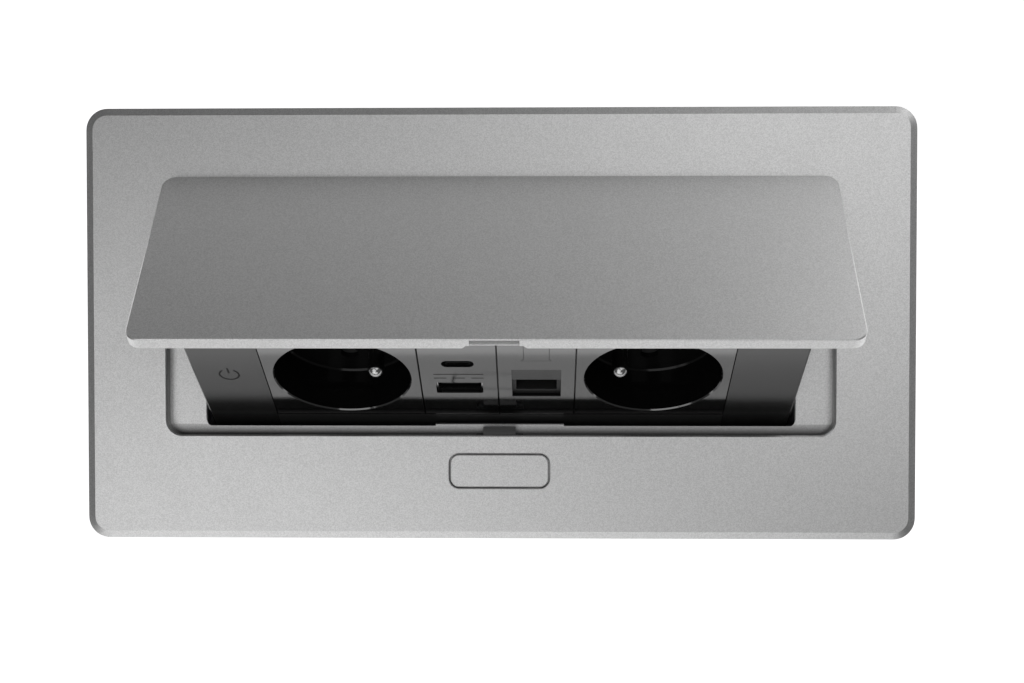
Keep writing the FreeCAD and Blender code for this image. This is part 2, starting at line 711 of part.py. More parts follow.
def make_open_stops():
    """Rubber blocks under the ledge that the arms come up against."""
    block = box(CHEEK_IN_X - STOP_INSET, OPENING_HALF_W, OPENING_REAR_Y + STOP_INSET, RECESS_REAR_Y,
                PIVOT_Z + ARM_HALF_W + STOP_GAP, LEDGE_BOTTOM)
    save("open_stops", both_sides(block))


def make_rest_bumpers():
    """Rubber dots at the back of the ledge that the closed lid sits over."""
    x = (RECESS_HALF_W + OPENING_HALF_W) / 2
    y = RECESS_REAR_Y - RECESS_CORNER_R - BUMPER_INSET
    save("rest_bumpers", both_sides(rod(BUMPER_R, BUMPER_T, V(x, y, LEDGE_TOP))))


# ---- damper ----
def bush_outer_r():
    """Radius of the bush's barrel, which its arm is bored for."""
    return PIN_R + RUNNING_GAP + BUSH_WALL


def gear(teeth, pinion_phase):
    """An involute-like gear outline about the origin in the (y, z) plane."""
    m = GEAR_MODULE
    r = m * teeth / 2
    points = []
    for i in range(teeth):
        middle = 2 * math.pi * (i + pinion_phase) / teeth
        half = math.pi / teeth / 2
        profile = ((r - 1.2 * m, -1.5), (r, -0.9), (r + 0.9 * m, -0.45),
                   (r + 0.9 * m, 0.45), (r, 0.9), (r - 1.2 * m, 1.5))
        for radius, share in profile:
            a = middle + half * share
            points.append((radius * math.cos(a), radius * math.sin(a)))
    return points


def make_gear_sector():
    """Toothed plate riveted inside the right arm, drawn closed."""
    outline = [(PIVOT_Y + y, PIVOT_Z + z) for y, z in gear(SECTOR_TEETH, 0)]
    wheel = prism(outline, GEAR_X, GEAR_X + GEAR_T)
    reach = 2 * SECTOR_R
    corners = [(PIVOT_Y, PIVOT_Z)]
    steps = 6
    for i in range(steps + 1):
        a = math.radians(SECTOR_FROM + (SECTOR_TO - SECTOR_FROM) * i / steps)
        corners.append((PIVOT_Y + reach * math.cos(a), PIVOT_Z + reach * math.sin(a)))
    sector = wheel.common(prism(corners, GEAR_X, GEAR_X + GEAR_T))
    bore_r = bush_outer_r() + BUSH_FLANGE_LIP + SECTOR_BORE_GAP
    sector = sector.cut(rod(bore_r, GEAR_T, V(GEAR_X, PIVOT_Y, PIVOT_Z), X_AXIS))
    for turn in (-SECTOR_BOSS_SPREAD, SECTOR_BOSS_SPREAD):
        a = math.radians(180 + OPEN_ANGLE + turn)
        y = PIVOT_Y + SECTOR_BOSS_AT * math.cos(a)
        z = PIVOT_Z + SECTOR_BOSS_AT * math.sin(a)
        boss = rod(SECTOR_BOSS_R, CHEEK_IN_X - GEAR_X, V(GEAR_X, y, z), X_AXIS)
        sector = sector.fuse(boss)
    save("gear_sector", opened(sector.removeSplitter()))


def make_damper():
    """Rotary damper, its bracket, pinion and screws."""
    axis = V(0, PIVOT_Y, PINION_Z)
    turn = OPEN_ANGLE * SECTOR_TEETH / PINION_TEETH
    start = -0.25 * PINION_TEETH + 0.5 + (turn % (360.0 / PINION_TEETH)) / (360.0 / PINION_TEETH)
    sector_phase = (0.75 * SECTOR_TEETH) % 1.0
    outline = [(PIVOT_Y + y, PINION_Z + z) for y, z in gear(PINION_TEETH, start - sector_phase)]
    pinion = prism(outline, GEAR_X, GEAR_X + GEAR_T)
    bracket_x = GEAR_X - DAMPER_BRACKET_GAP
    plate_x = bracket_x - DAMPER_BRACKET_T
    shaft_in = plate_x - DAMPER_L / 2
    shaft = rod(DAMPER_SHAFT_R, GEAR_X - shaft_in, axis + V(shaft_in, 0, 0), X_AXIS)
    save("damper_pinion", pinion.fuse(shaft).removeSplitter())
    low, high = PINION_Z - DAMPER_R, PINION_Z + DAMPER_R
    front = PIVOT_Y - DAMPER_EAR_AT - DAMPER_EAR_R
    bracket = box(plate_x, bracket_x, front, TUB_REAR_Y, low, high)
    foot = box(plate_x - DAMPER_FOOT, plate_x, TUB_REAR_Y - DAMPER_BRACKET_T, TUB_REAR_Y, low, high)
    bracket = bracket.fuse(foot).cut(rod(DAMPER_SHAFT_R + SLIDE_GAP, DAMPER_BRACKET_T,
                                         axis + V(plate_x, 0, 0), X_AXIS))
    body_x = plate_x - DAMPER_L
    body = rod(DAMPER_R, DAMPER_L, axis + V(body_x, 0, 0), X_AXIS)
    screws = []
    for way in (-1, 1):
        centre = axis + V(plate_x - DAMPER_EAR_T, way * DAMPER_EAR_AT, 0)
        y0, y1 = sorted((centre.y, axis.y))
        ear = rod(DAMPER_EAR_R, DAMPER_EAR_T, centre, X_AXIS)
        ear = ear.fuse(box(centre.x, plate_x, y0, y1, axis.z - DAMPER_EAR_R, axis.z + DAMPER_EAR_R))
        body = body.fuse(ear).cut(rod(SCREW_R + THREAD_GAP, DAMPER_EAR_T, centre, X_AXIS))
        bracket = bracket.cut(rod(SCREW_R + THREAD_GAP, DAMPER_BRACKET_T, V(plate_x, centre.y, axis.z),
                                  X_AXIS))
        head = rod(DAMPER_SCREW_HEAD_R, SCREW_HEAD_T, centre - V(SCREW_HEAD_T, 0, 0), X_AXIS)
        shank = rod(SCREW_R, DAMPER_EAR_T + DAMPER_BRACKET_T, centre, X_AXIS)
        screws.append(head.fuse(shank).removeSplitter())
    bore = rod(DAMPER_SHAFT_R + RUNNING_GAP, DAMPER_L / 2 + SHEET_GAP,
               axis + V(shaft_in - SHEET_GAP, 0, 0), X_AXIS)
    save("damper_body", body.cut(bore).removeSplitter())
    save("damper_bracket", bracket.removeSplitter())
    save("damper_screws", screws)


# ---- button and latch ----
def make_push_button():
    """Button cap flush with the rim, with a flange and a wedge stem."""
    g = BUTTON_GAP
    w, d = BUTTON_W / 2 - g, BUTTON_D / 2 - g
    cap = rounded_box(-w, w, BUTTON_Y - d, BUTTON_Y + d, -SLIDE_GAP, RIM_T, BUTTON_R - g)
    cap = eased(cap, BUTTON_EDGE, lambda e: e.BoundBox.ZMin > RIM_T - 1e-6)
    f = BUTTON_FLANGE
    flange_bottom = -SLIDE_GAP - BUTTON_FLANGE_T
    flange = box(-w - f, w + f, BUTTON_Y - d - f, BUTTON_Y + d + f, flange_bottom, -SLIDE_GAP)
    riser_room = TONGUE_W / 2 + SLIDE_GAP
    flange = flange.cut(box(-riser_room, riser_room, RISER_FRONT_Y - BUTTON_TRAVEL - SLIDE_GAP,
                            BUTTON_Y + d + f, flange_bottom, -SLIDE_GAP))
    rise = flange_bottom - SLIDE_TOP
    drop = SLIDE_TOP - STEM_BOTTOM
    stem = prism([(CAM_Y - rise, flange_bottom), (CAM_Y + drop, STEM_BOTTOM),
                  (STEM_REAR_Y, STEM_BOTTOM), (STEM_REAR_Y, flange_bottom)], -STEM_HALF_W, STEM_HALF_W)
    save("push_button", cap.fuse(flange).fuse(stem).removeSplitter())


def make_latch_slide():
    """Slide with a sloped window for the stem and a tongue through the recess wall."""
    low = SLIDE_TOP - SLIDE_T
    plate = box(-SLIDE_HALF_W, SLIDE_HALF_W, SLIDE_FRONT_Y, SLIDE_REAR_Y, low, SLIDE_TOP)
    gap = SHEET_GAP * math.sqrt(2)
    hole = prism([(CAM_Y - gap, SLIDE_TOP), (CAM_Y - gap + SLIDE_T, low),
                  (WINDOW_REAR_Y, low), (WINDOW_REAR_Y, SLIDE_TOP)],
                 -STEM_HALF_W - SLIDE_GAP, STEM_HALF_W + SLIDE_GAP)
    t = TONGUE_W / 2
    riser = box(-t, t, RISER_FRONT_Y, SLIDE_REAR_Y, SLIDE_TOP, TONGUE_TOP)
    tongue = prism([(RISER_FRONT_Y, TONGUE_TOP - TONGUE_T), (TONGUE_TIP_Y, TONGUE_TOP - TONGUE_T),
                    (TONGUE_TIP_Y, TONGUE_TOP - TONGUE_BEVEL),
                    (RECESS_FRONT_Y + TONGUE_BEVEL_FROM, TONGUE_TOP), (RISER_FRONT_Y, TONGUE_TOP)], -t, t)
    save("latch_slide", plate.cut(hole).fuse(riser).fuse(tongue).removeSplitter())


def make_latch_bracket():
    """Folded tray under the rim that carries the button and the latch."""
    w, t = BRACKET_HALF_W, BRACKET_T
    tray = box(-w - t, w + t, BRACKET_FRONT_Y, BRACKET_REAR_Y, BRACKET_FLOOR, 0)
    tray = tray.cut(box(-w, w, BRACKET_FRONT_Y + t, BRACKET_REAR_Y, BRACKET_FLOOR + t, 0))
    low = SLIDE_TOP - SLIDE_T
    for side in (-1, 1):
        ear = box(*sorted((side * w, side * BRACKET_EAR)), BRACKET_SCREW_Y - BRACKET_EAR_HALF_D,
                  BRACKET_SCREW_Y + BRACKET_EAR_HALF_D, -t, 0)
        tray = tray.fuse(ear)
        x = side * BRACKET_SCREW_X
        tray = tray.cut(rod(SCREW_R + THREAD_GAP, t, V(x, BRACKET_SCREW_Y, -t)))
        shelf = box(*sorted((side * (SLIDE_HALF_W - BRACKET_SHELF_LAP), side * w)), BRACKET_FRONT_Y + t, BRACKET_REAR_Y,
                    low - SHEET_GAP - t, low - SHEET_GAP)
        fence = box(*sorted((side * (SLIDE_HALF_W + SLIDE_GAP), side * w)), BRACKET_FRONT_Y + t,
                    BRACKET_REAR_Y, low - SHEET_GAP, SLIDE_TOP)
        tray = tray.fuse(shelf).fuse(fence)
    save("latch_bracket", tray.removeSplitter())
    length = t + RIM_T / 2 - SHEET_GAP
    save("latch_bracket_screws", [screw(side * BRACKET_SCREW_X, BRACKET_SCREW_Y, -t, length)
                                  for side in (-1, 1)])


def make_latch_springs():
    """Return springs of the button and of the latch slide."""
    floor = BRACKET_FLOOR + BRACKET_T
    height = STEM_BOTTOM - floor - 2 * COIL_WIRE_R
    turns = COIL_TURNS
    y = (CAM_Y + SLIDE_TOP - STEM_BOTTOM + STEM_REAR_Y) / 2
    start = V(0, y, floor + COIL_WIRE_R)
    save("button_spring", coil(BUTTON_COIL_R, COIL_WIRE_R, height / turns, turns, start, Z_AXIS))
    front = BRACKET_FRONT_Y + BRACKET_T
    length = SLIDE_FRONT_Y - front - 2 * COIL_WIRE_R
    start = V(0, front + COIL_WIRE_R, SLIDE_TOP - SLIDE_T / 2)
    save("latch_spring", coil(LATCH_COIL_R, COIL_WIRE_R, length / turns, turns, start, Y_AXIS))


# ---- desk clamps ----
def make_wing_nut(top):
    """A wing nut hung on the right stud below a level."""
    hub = rod(NUT_R, NUT_H, V(STUD_X, 0, top - NUT_H))
    half = NUT_WING_T / 2
    low = top - NUT_H
    outline = [(0, low), (0, top - NUT_WING_TOP), (NUT_WING_REACH, top - NUT_WING_TOP),
               (NUT_WING_REACH, low - NUT_WING_DROP), (NUT_WING_FOOT, low - NUT_WING_DROP)]
    corners = [V(STUD_X + x, -half, z) for x, z in outline]
    wing = Part.Face(Part.makePolygon(corners + corners[:1])).extrude(V(0, NUT_WING_T, 0))
    nut = hub.fuse(wing).fuse(wing.mirror(V(STUD_X, 0, 0), X_AXIS))
    depth = NUT_H + NUT_WING_DROP
    return nut.cut(rod(STUD_R + RUNNING_GAP, depth, V(STUD_X, 0, top - depth))).removeSplitter()


def make_clamps():
    """Studs, clamps, pads and wing nuts that grip the desk from below."""
    bottom = -DESK_T - STUD_BELOW
    length = STUD_DEEP - SHEET_GAP - bottom
    save("clamp_studs", [rod(STUD_R, length, V(side * STUD_X, 0, bottom)) for side in (-1, 1)])
    arm = box(CLAMP_IN_X, CLAMP_OUT_X, -CLAMP_HALF_D, CLAMP_HALF_D, CLAMP_Z - CLAMP_T, CLAMP_Z)
    rib = box(CLAMP_IN_X, CLAMP_OUT_X, -CLAMP_HALF_D, -CLAMP_HALF_D + CLAMP_T,
              CLAMP_Z - CLAMP_T - CLAMP_RIB, CLAMP_Z - CLAMP_T)
    arm = arm.fuse(rib).fuse(rib.mirror(V(0, 0, 0), Y_AXIS)).removeSplitter()
    arm = arm.cut(rod(CLAMP_HOLE_R, CLAMP_T, V(STUD_X, 0, CLAMP_Z - CLAMP_T)))
    pad = box(CLAMP_OUT_X - CLAMP_PAD_W, CLAMP_OUT_X - CLAMP_PAD_EDGE, -CLAMP_HALF_D + CLAMP_PAD_SIDE,
              CLAMP_HALF_D - CLAMP_PAD_SIDE, CLAMP_Z, -DESK_T)
    nut = make_wing_nut(CLAMP_Z - CLAMP_T - SHEET_GAP)
    for name, side in SIDES.items():
        turn = (lambda shape: shape) if side > 0 else mirrored
        save("desk_clamp_" + name, turn(arm))
        save("clamp_pad_" + name, turn(pad))
        save("wing_nut_" + name, turn(nut))


# ---- lid and frame of the block ----
def lid_screw_places():
    """Where the frame is screwed to the lid."""
    x = CHEEK_IN_X - LID_TAB_W / 2 - LID_SCREW_EDGE
    middle = FACE_TOP_Y + LID_TAB_FRONT + LID_TAB_D / 2
    return [(side * x, middle + way * LID_SCREW_SPACING / 2) for side in (-1, 1) for way in (-1, 1)]


def rear_relief():
    """What the back of the recess sweeps out of the lid as it turns about the pivot."""
    corner_x = RECESS_HALF_W - RECESS_CORNER_R
    steps = 6
    profile = []
    for i in range(steps + 1):
        reach = RECESS_CORNER_R * math.sin(math.pi / 2 * i / steps)
        wall_y = RECESS_REAR_Y - RECESS_CORNER_R + math.sqrt(RECESS_CORNER_R ** 2 - reach ** 2)
        clear_r = math.hypot(PIVOT_Y - wall_y, RIM_T - PIVOT_Z) + SLIDE_GAP
        profile.append((corner_x + reach, clear_r))
    outline = [(-x, r) for x, r in reversed(profile)] + profile
    corners = [V(x, PIVOT_Y, PIVOT_Z + r) for x, r in outline]
    corners = [V(-RECESS_HALF_W, PIVOT_Y, PIVOT_Z)] + corners + [V(RECESS_HALF_W, PIVOT_Y, PIVOT_Z)]
    face = Part.Face(Part.makePolygon(corners + corners[:1]))
    return face.revolve(V(0, PIVOT_Y, PIVOT_Z), X_AXIS, 360)


def make_lid():
    """Flat lid with a latch notch in front and a relieved rear edge."""
    w = LID_HALF_W
    lid = rounded_box(-w, w, LID_FRONT_Y, LID_REAR_Y, LID_UNDER, RIM_T, LID_CORNER_R)
    rim = [e for e in lid.Edges if e.BoundBox.ZMin > RIM_T - 1e-6]
    lid = lid.makeChamfer(LID_EDGE_CHAMFER, rim)
    lid = lid.cut(rear_relief())
    k = KEEPER_W / 2
    back = LID_FRONT_Y + KEEPER_DEPTH
    slot_top = RIM_T - KEEPER_SKIN
    slot = box(-k, k, LID_FRONT_Y, back, LID_UNDER, slot_top)
    catch = box(-k, k, back, back + KEEPER_REACH, slot_top - KEEPER_SLOT, slot_top)
    flare = KEEPER_FLARE
    mouth = Part.Face(Part.makePolygon([V(-k - flare, LID_FRONT_Y, LID_UNDER + flare),
                                        V(k + flare, LID_FRONT_Y, LID_UNDER + flare),
                                        V(k + 2 * flare, LID_FRONT_Y, LID_UNDER),
                                        V(-k - 2 * flare, LID_FRONT_Y, LID_UNDER),
                                        V(-k - flare, LID_FRONT_Y, LID_UNDER + flare)]))
    mouth = mouth.extrude(V(0, KEEPER_DEPTH, 0))
    lid = lid.cut(slot).cut(catch).cut(mouth)
    for x, y in lid_screw_places():
        lid = lid.cut(rod(SCREW_R + THREAD_GAP, LID_SCREW_DEEP, V(x, y, LID_UNDER)))
    save("lid", opened(lid.removeSplitter()))


def make_carriage_frame():
    """Folded steel frame: two cheeks with pivot arms, a base and lid tabs."""
    front_top = face_point(CAP_LIP + SHEET_GAP, 0)
    front_bottom = face_point(CAP_LIP + SHEET_GAP, FACE_H)
    over = BLOCK_TOP_Z + LID_T
    profile = [(front_top[0], over), front_top, front_bottom, (BLOCK_REAR_Y, BASE_Z), (BLOCK_REAR_Y, over)]
    cheek = below(prism(profile, CHEEK_IN_X, CHEEK_OUT_X), BLOCK_TOP_Z)
    a = math.radians(OPEN_ANGLE)
    reach = (PIVOT_Y - BLOCK_REAR_Y) / math.cos(a) + ARM_OVERLAP
    arm = box(CHEEK_IN_X, CHEEK_OUT_X, PIVOT_Y - reach, PIVOT_Y, PIVOT_Z - ARM_HALF_W, PIVOT_Z + ARM_HALF_W)
    arm.rotate(V(0, PIVOT_Y, PIVOT_Z), X_AXIS, OPEN_ANGLE)
    cheek = cheek.fuse(arm)
    cheek = cheek.fuse(rod(ARM_HALF_W, CHEEK_T, V(CHEEK_IN_X, PIVOT_Y, PIVOT_Z), X_AXIS))
    bore = rod(bush_outer_r(), CHEEK_T, V(CHEEK_IN_X, PIVOT_Y, PIVOT_Z), X_AXIS)
    cheek = cheek.cut(bore)
    tab_y = FACE_TOP_Y + LID_TAB_FRONT
    tab = box(CHEEK_IN_X - LID_TAB_W, CHEEK_IN_X, tab_y, tab_y + LID_TAB_D, BLOCK_TOP_Z - LID_TAB_T,
              BLOCK_TOP_Z)
    cheek = cheek.fuse(tab)
    base_front = face_point(FRAME_T + SHEET_GAP, FACE_H)[0]
    base = box(-CHEEK_IN_X, CHEEK_IN_X, base_front, BLOCK_REAR_Y, BASE_Z, BASE_Z + BASE_T)
    frame = cheek.fuse(mirrored(cheek)).fuse(base)
    for x, y in lid_screw_places():
        frame = frame.cut(rod(SCREW_R + THREAD_GAP, LID_TAB_T, V(x, y, BLOCK_TOP_Z - LID_TAB_T)))
    save("carriage_frame", opened(frame.removeSplitter()))
    level = BLOCK_TOP_Z - LID_TAB_T
    length = LID_TAB_T + LID_SCREW_DEEP - SHEET_GAP
    save("lid_screws", [opened(screw(x, y, level, length)) for x, y in lid_screw_places()])


def make_pivot_bushes():
    """Flanged bushes in the arms."""
    outer = bush_outer_r()
    start = V(CHEEK_IN_X - BUSH_FLANGE_T, PIVOT_Y, PIVOT_Z)
    length = BUSH_FLANGE_T + CHEEK_T + BUSH_PROUD
    flange = rod(outer + BUSH_FLANGE_LIP, BUSH_FLANGE_T, start, X_AXIS)
    bush = rod(outer - THREAD_GAP, length, start, X_AXIS).fuse(flange)
    bush = bush.cut(rod(PIN_R + RUNNING_GAP, length, start, X_AXIS))
    save("pivot_bushes", both_sides(opened(bush.removeSplitter())))


def make_face_frame():
    """Black frame above, below and behind the modules."""
    w = MODULES_HALF_W - SHEET_GAP / 2
    bottom = MODULE_TOP + MODULE_W
    frame = face_box(-w, w, MODULE_T + SHEET_GAP, FRAME_T, 0, FACE_H)
    frame = frame.fuse(face_box(-w, w, 0, FRAME_T, 0, MODULE_TOP - SHEET_GAP))
    frame = frame.fuse(face_box(-w, w, 0, FRAME_T, bottom + SHEET_GAP, FACE_H))
    for side in (-1, 1):
        cup = rod(WELL_R + WELL_SKIN + SHEET_GAP, FRAME_T, V(side * SOCKET_X, 0, -SOCKET_S), Y_AXIS)
        frame = frame.cut(cup)
        half = USB_BODY_W / 2 + SHEET_GAP
        x = side * MODULE_W / 4
        hole = face_box(x - half, x + half, 0, FRAME_T, SOCKET_S + NET_SHUTTER_FROM - NET_SHUTTER_RISE,
                        SOCKET_S + USB_BODY_TO + SHEET_GAP)
        frame = frame.cut(hole)
    shape = below(closed(frame.removeSplitter()), BLOCK_TOP_Z)
    save("face_frame", opened(shape))


def make_end_caps():
    """Satin caps at the two ends of the face."""
    x0 = MODULES_HALF_W + SHEET_GAP / 2
    cap = face_box(x0, BLOCK_HALF_W, 0, CAP_LIP, 0, FACE_H)
    cap = cap.fuse(face_box(x0, CHEEK_IN_X - SHEET_GAP, 0, FRAME_T, 0, FACE_H))
    w = CAP_WALL
    cap = cap.cut(face_box(x0 + w, CHEEK_IN_X - SHEET_GAP - w, w, FRAME_T, MODULE_TOP, FACE_H - w))
    cap = eased(cap.removeSplitter(), CAP_CHAMFER,
                lambda e: on_face(e) and e.BoundBox.XMin > x0 + 1e-6 and e.Length > CAP_W + 1)
    shape = below(closed(cap.removeSplitter()), BLOCK_TOP_Z)
    save("end_cap_right", opened(shape))
    save("end_cap_left", opened(mirrored(shape)))


def make_rear_cover():
    """Plastic shell over the back of the modules, open to the front."""
    d = FRAME_T + SHEET_GAP
    top = face_point(d, 0)
    bottom = face_point(d, FACE_H)
    floor = BASE_Z + BASE_T + SHEET_GAP
    w = COVER_WALL
    over = top[1] + LID_T
    outer = prism([(top[0], over), (bottom[0], floor), (BLOCK_REAR_Y, floor), (BLOCK_REAR_Y, over)],
                  -COVER_HALF_W, COVER_HALF_W)
    outer = below(outer, COVER_TOP_Z)
    rear = [e for e in outer.Edges if e.BoundBox.YMin > BLOCK_REAR_Y - 1e-6]
    outer = outer.makeFillet(COVER_CORNER_R, rear)
    front = min(top[0], bottom[0]) - FACE_H
    inner = box(-COVER_HALF_W + w, COVER_HALF_W - w, front, BLOCK_REAR_Y - w, floor + w, COVER_TOP_Z - w)
    cover = outer.cut(inner)
    for x, r in ((MAINS_GLAND_X, MAINS_GLAND_R), (DATA_GLAND_X, DATA_GLAND_R)):
        cover = cover.cut(rod(r, w, V(x, BLOCK_REAR_Y - w, GLAND_Z), Y_AXIS))
    cover = opened(cover)
    for side in (-1, 1):
        cup = rod(WELL_R + WELL_SKIN + SHEET_GAP, WELL_DEPTH + WELL_SKIN + SHEET_GAP,
                  V(side * SOCKET_X, 0, -SOCKET_S), Y_AXIS)
        cover = cover.cut(opened(closed(cup)))
    save("rear_cover", cover.removeSplitter())


def make_gland(node, x, r, cable_r):
    """A cable gland in the rear cover, drawn closed."""
    inside = BLOCK_REAR_Y - COVER_WALL - GLAND_NUT_T
    body = rod(r - THREAD_GAP, COVER_WALL + GLAND_NUT_T, V(x, inside, GLAND_Z), Y_AXIS)
    nut_r = GLAND_NUT_SHARE * r
    for y in (inside, BLOCK_REAR_Y):
        turns = [math.radians(60 * i) for i in range(7)]
        corners = [V(x + nut_r * math.cos(a), y, GLAND_Z + nut_r * math.sin(a)) for a in turns]
        body = body.fuse(Part.Face(Part.makePolygon(corners)).extrude(V(0, GLAND_NUT_T, 0)))
    dome = V(x, BLOCK_REAR_Y + GLAND_NUT_T, GLAND_Z)
    body = body.fuse(Part.makeCone(GLAND_DOME_FOOT * r, GLAND_DOME_TIP * r, GLAND_DOME_L, dome, Y_AXIS))
    bore = rod(cable_r, dome.y + GLAND_DOME_L - inside, V(x, inside, GLAND_Z), Y_AXIS)
    save(node, opened(body.cut(bore).removeSplitter()))


# ---- sockets ----
def module_plate(x0, x1):
    """The front plate of a module, with its front edges eased."""
    half = MODULE_W / 2 - MODULE_GAP
    plate = face_box(x0, x1, 0, MODULE_T, SOCKET_S - half, SOCKET_S + half)
    return eased(plate, MODULE_CHAMFER, on_face)


def pin_holes_s():
    """How far down the face the two contact holes lie."""
    return (SOCKET_S - PIN_SPACING / 2, SOCKET_S + PIN_SPACING / 2)


def make_socket(name, side):
    """One socket: insert, shutter, back, contact clips and earth pin."""
    x = side * SOCKET_X
    inward = -side
    half = MODULE_W / 2 - MODULE_GAP
    face = module_plate(x - half, x + half)
    centre = V(x, 0, -SOCKET_S)
    cup = rod(WELL_R + WELL_SKIN, WELL_DEPTH + WELL_SKIN, centre, Y_AXIS)
    c = WELL_CHAMFER
    mouth = Part.makeCone(WELL_R + c, WELL_R, c, centre, Y_AXIS)
    e = WELL_FLOOR_EDGE
    floor = Part.makeCone(WELL_R, WELL_R - e, e, centre + V(0, WELL_DEPTH - e, 0), Y_AXIS)
    well = rod(WELL_R, WELL_DEPTH - e, centre, Y_AXIS).fuse(floor)
    insert = face.fuse(cup).cut(well).cut(mouth)
    for s in pin_holes_s():
        insert = insert.cut(rod(PIN_HOLE_R, WELL_DEPTH + WELL_SKIN, V(x, 0, -s), Y_AXIS))
    earth = V(x + inward * EARTH_OFFSET, 0, -SOCKET_S)
    insert = insert.cut(rod(EARTH_R + THREAD_GAP, WELL_DEPTH + WELL_SKIN, earth, Y_AXIS))
    save("socket_" + name, opened(closed(insert.removeSplitter())))
    reach = PIN_SPACING / 2 + SHUTTER_W / 2
    shutter = face_box(x - SHUTTER_W / 2, x + SHUTTER_W / 2, SHUTTER_D, SHUTTER_D + SHUTTER_T,
                       SOCKET_S - reach, SOCKET_S + reach)
    save("socket_shutter_" + name, opened(closed(shutter)))
    back = face_box(x - SOCKET_BACK_W / 2, x + SOCKET_BACK_W / 2, BACK_D, BACK_D + SOCKET_BACK_D,
                    BACK_TOP_S, SOCKET_S + SOCKET_BACK_LOW)
    clips = []
    for s in pin_holes_s():
        p = POCKET / 2
        back = back.cut(face_box(x - p, x + p, BACK_D, BACK_D + POCKET_D, s - p, s + p))
        c = CLIP / 2
        d0 = BACK_D + SLIDE_GAP
        clip = face_box(x - c, x + c, d0, d0 + CLIP_D, s - c, s + c)
        deep = CLIP_D - CLIP_FLOOR
        clip = clip.cut(rod(CLIP_BORE_R, deep, V(x, d0, -s), Y_AXIS))
        clip = clip.cut(face_box(x, x + c, d0, d0 + deep, s - CLIP_SLIT / 2, s + CLIP_SLIT / 2))
        clips.append(opened(closed(clip)))
    back = back.cut(rod(EARTH_R + THREAD_GAP, SOCKET_BACK_D, earth + V(0, BACK_D, 0), Y_AXIS))
    for post_side in (-1, 1):
        px = x + post_side * (SOCKET_BACK_W / 2 - SOCKET_POST)
        post = face_box(px - SOCKET_POST, px + SOCKET_POST, SHUTTER_D, BACK_D,
                        SOCKET_S - SOCKET_POST_H, SOCKET_S + SOCKET_POST_H)
        back = back.fuse(post)
    save("socket_back_" + name, opened(closed(back.removeSplitter())))
    save("contact_clips_" + name, clips)
    length = BACK_D + SOCKET_BACK_D - EARTH_TIP_S - EARTH_R
    pin = rod(EARTH_R, length, earth + V(0, EARTH_TIP_S + EARTH_R, 0), Y_AXIS)
    tip = Part.makeSphere(EARTH_R, earth + V(0, EARTH_TIP_S + EARTH_R, 0))
    save("earth_pin_" + name, opened(closed(pin.fuse(tip).removeSplitter())))


# ---- USB module ----
def slot(x, s, w, h, r, d0, d1):
    """A rounded slot through the face."""
    block = rounded_box(x - w / 2, x + w / 2, s - h / 2, s + h / 2, d0, d1, r)
    block.rotate(V(0, 0, 0), X_AXIS, -90)
    return block


def make_port(name, x, s, w, h, r):
    """A port's metal shell, set back from the face and closed behind."""
    g = SHEET_GAP
    skin = g + PORT_SKIN
    shell = slot(x, s, w - 2 * g, h - 2 * g, r - g, PORT_INSET, BOARD_D)
    hollow = slot(x, s, w - 2 * skin, h - 2 * skin, max(r - skin, g), PORT_INSET, BOARD_D - PORT_SKIN)
    save(name, opened(closed(shell.cut(hollow))))


def make_tongue(x, s, w, h):
    """A port's contact tongue."""
    half_w, half_h = w / 2, h / 2
    tongue = face_box(x - half_w, x + half_w, TONGUE_INSET, BOARD_D - PORT_SKIN - SHEET_GAP,
                      s - half_h, s + half_h)
    return opened(closed(tongue))


def make_usb_module():
    """Charger face, housing, board, port shells and tongues."""
    x = -MODULE_W / 4
    half = MODULE_W / 4 - MODULE_GAP
    usb_c_s = SOCKET_S + USB_C_AT
    usb_a_s = SOCKET_S + USB_A_AT
    c_round = (USB_C_H - SHEET_GAP) / 2
    face = module_plate(x - half, x + half)
    face = face.cut(slot(x, usb_c_s, USB_C_W, USB_C_H, c_round, 0, MODULE_T))
    face = face.cut(slot(x, usb_a_s, USB_A_W, USB_A_H, USB_A_R, 0, MODULE_T))
    save("usb_face", opened(closed(face)))
    make_port("usb_c_shell", x, usb_c_s, USB_C_W, USB_C_H, c_round)
    make_port("usb_a_shell", x, usb_a_s, USB_A_W, USB_A_H, USB_A_R)
    save("usb_tongues", [make_tongue(x, usb_c_s, USB_C_TONGUE_W, USB_C_TONGUE_H),
                         make_tongue(x, usb_a_s, USB_A_TONGUE_W, USB_A_TONGUE_H)])
    top, bottom = SOCKET_S + USB_BODY_FROM, SOCKET_S + USB_BODY_TO
    b, e, w = USB_BODY_W / 2, BOARD_EDGE, USB_WALL
    board = face_box(x - b + e, x + b - e, BOARD_D, BOARD_D + BOARD_T, top + e, bottom - e)
    save("usb_board", opened(closed(board)))
    d0 = MODULE_T + SHEET_GAP
    body = face_box(x - b, x + b, d0, d0 + USB_BODY_D, top, bottom)
    body = body.cut(face_box(x - b + w, x + b - w, d0, d0 + USB_BODY_D - w, top + w, bottom - w))
    save("usb_housing", opened(closed(body)))


# ---- network module ----
def make_network_contacts(x, jack_d, port_top):
    """Spring wires in the roof of the jack."""
    wires = []
    for i in range(CONTACT_COUNT):
        cx = x + (i - (CONTACT_COUNT - 1) / 2) * CONTACT_PITCH
        wire = face_box(cx - CONTACT_W / 2, cx + CONTACT_W / 2, jack_d + CONTACT_INSET, jack_d + PORT_D,
                        port_top, port_top + CONTACT_H)
        wires.append(opened(closed(wire)))
    save("network_contacts", wires)


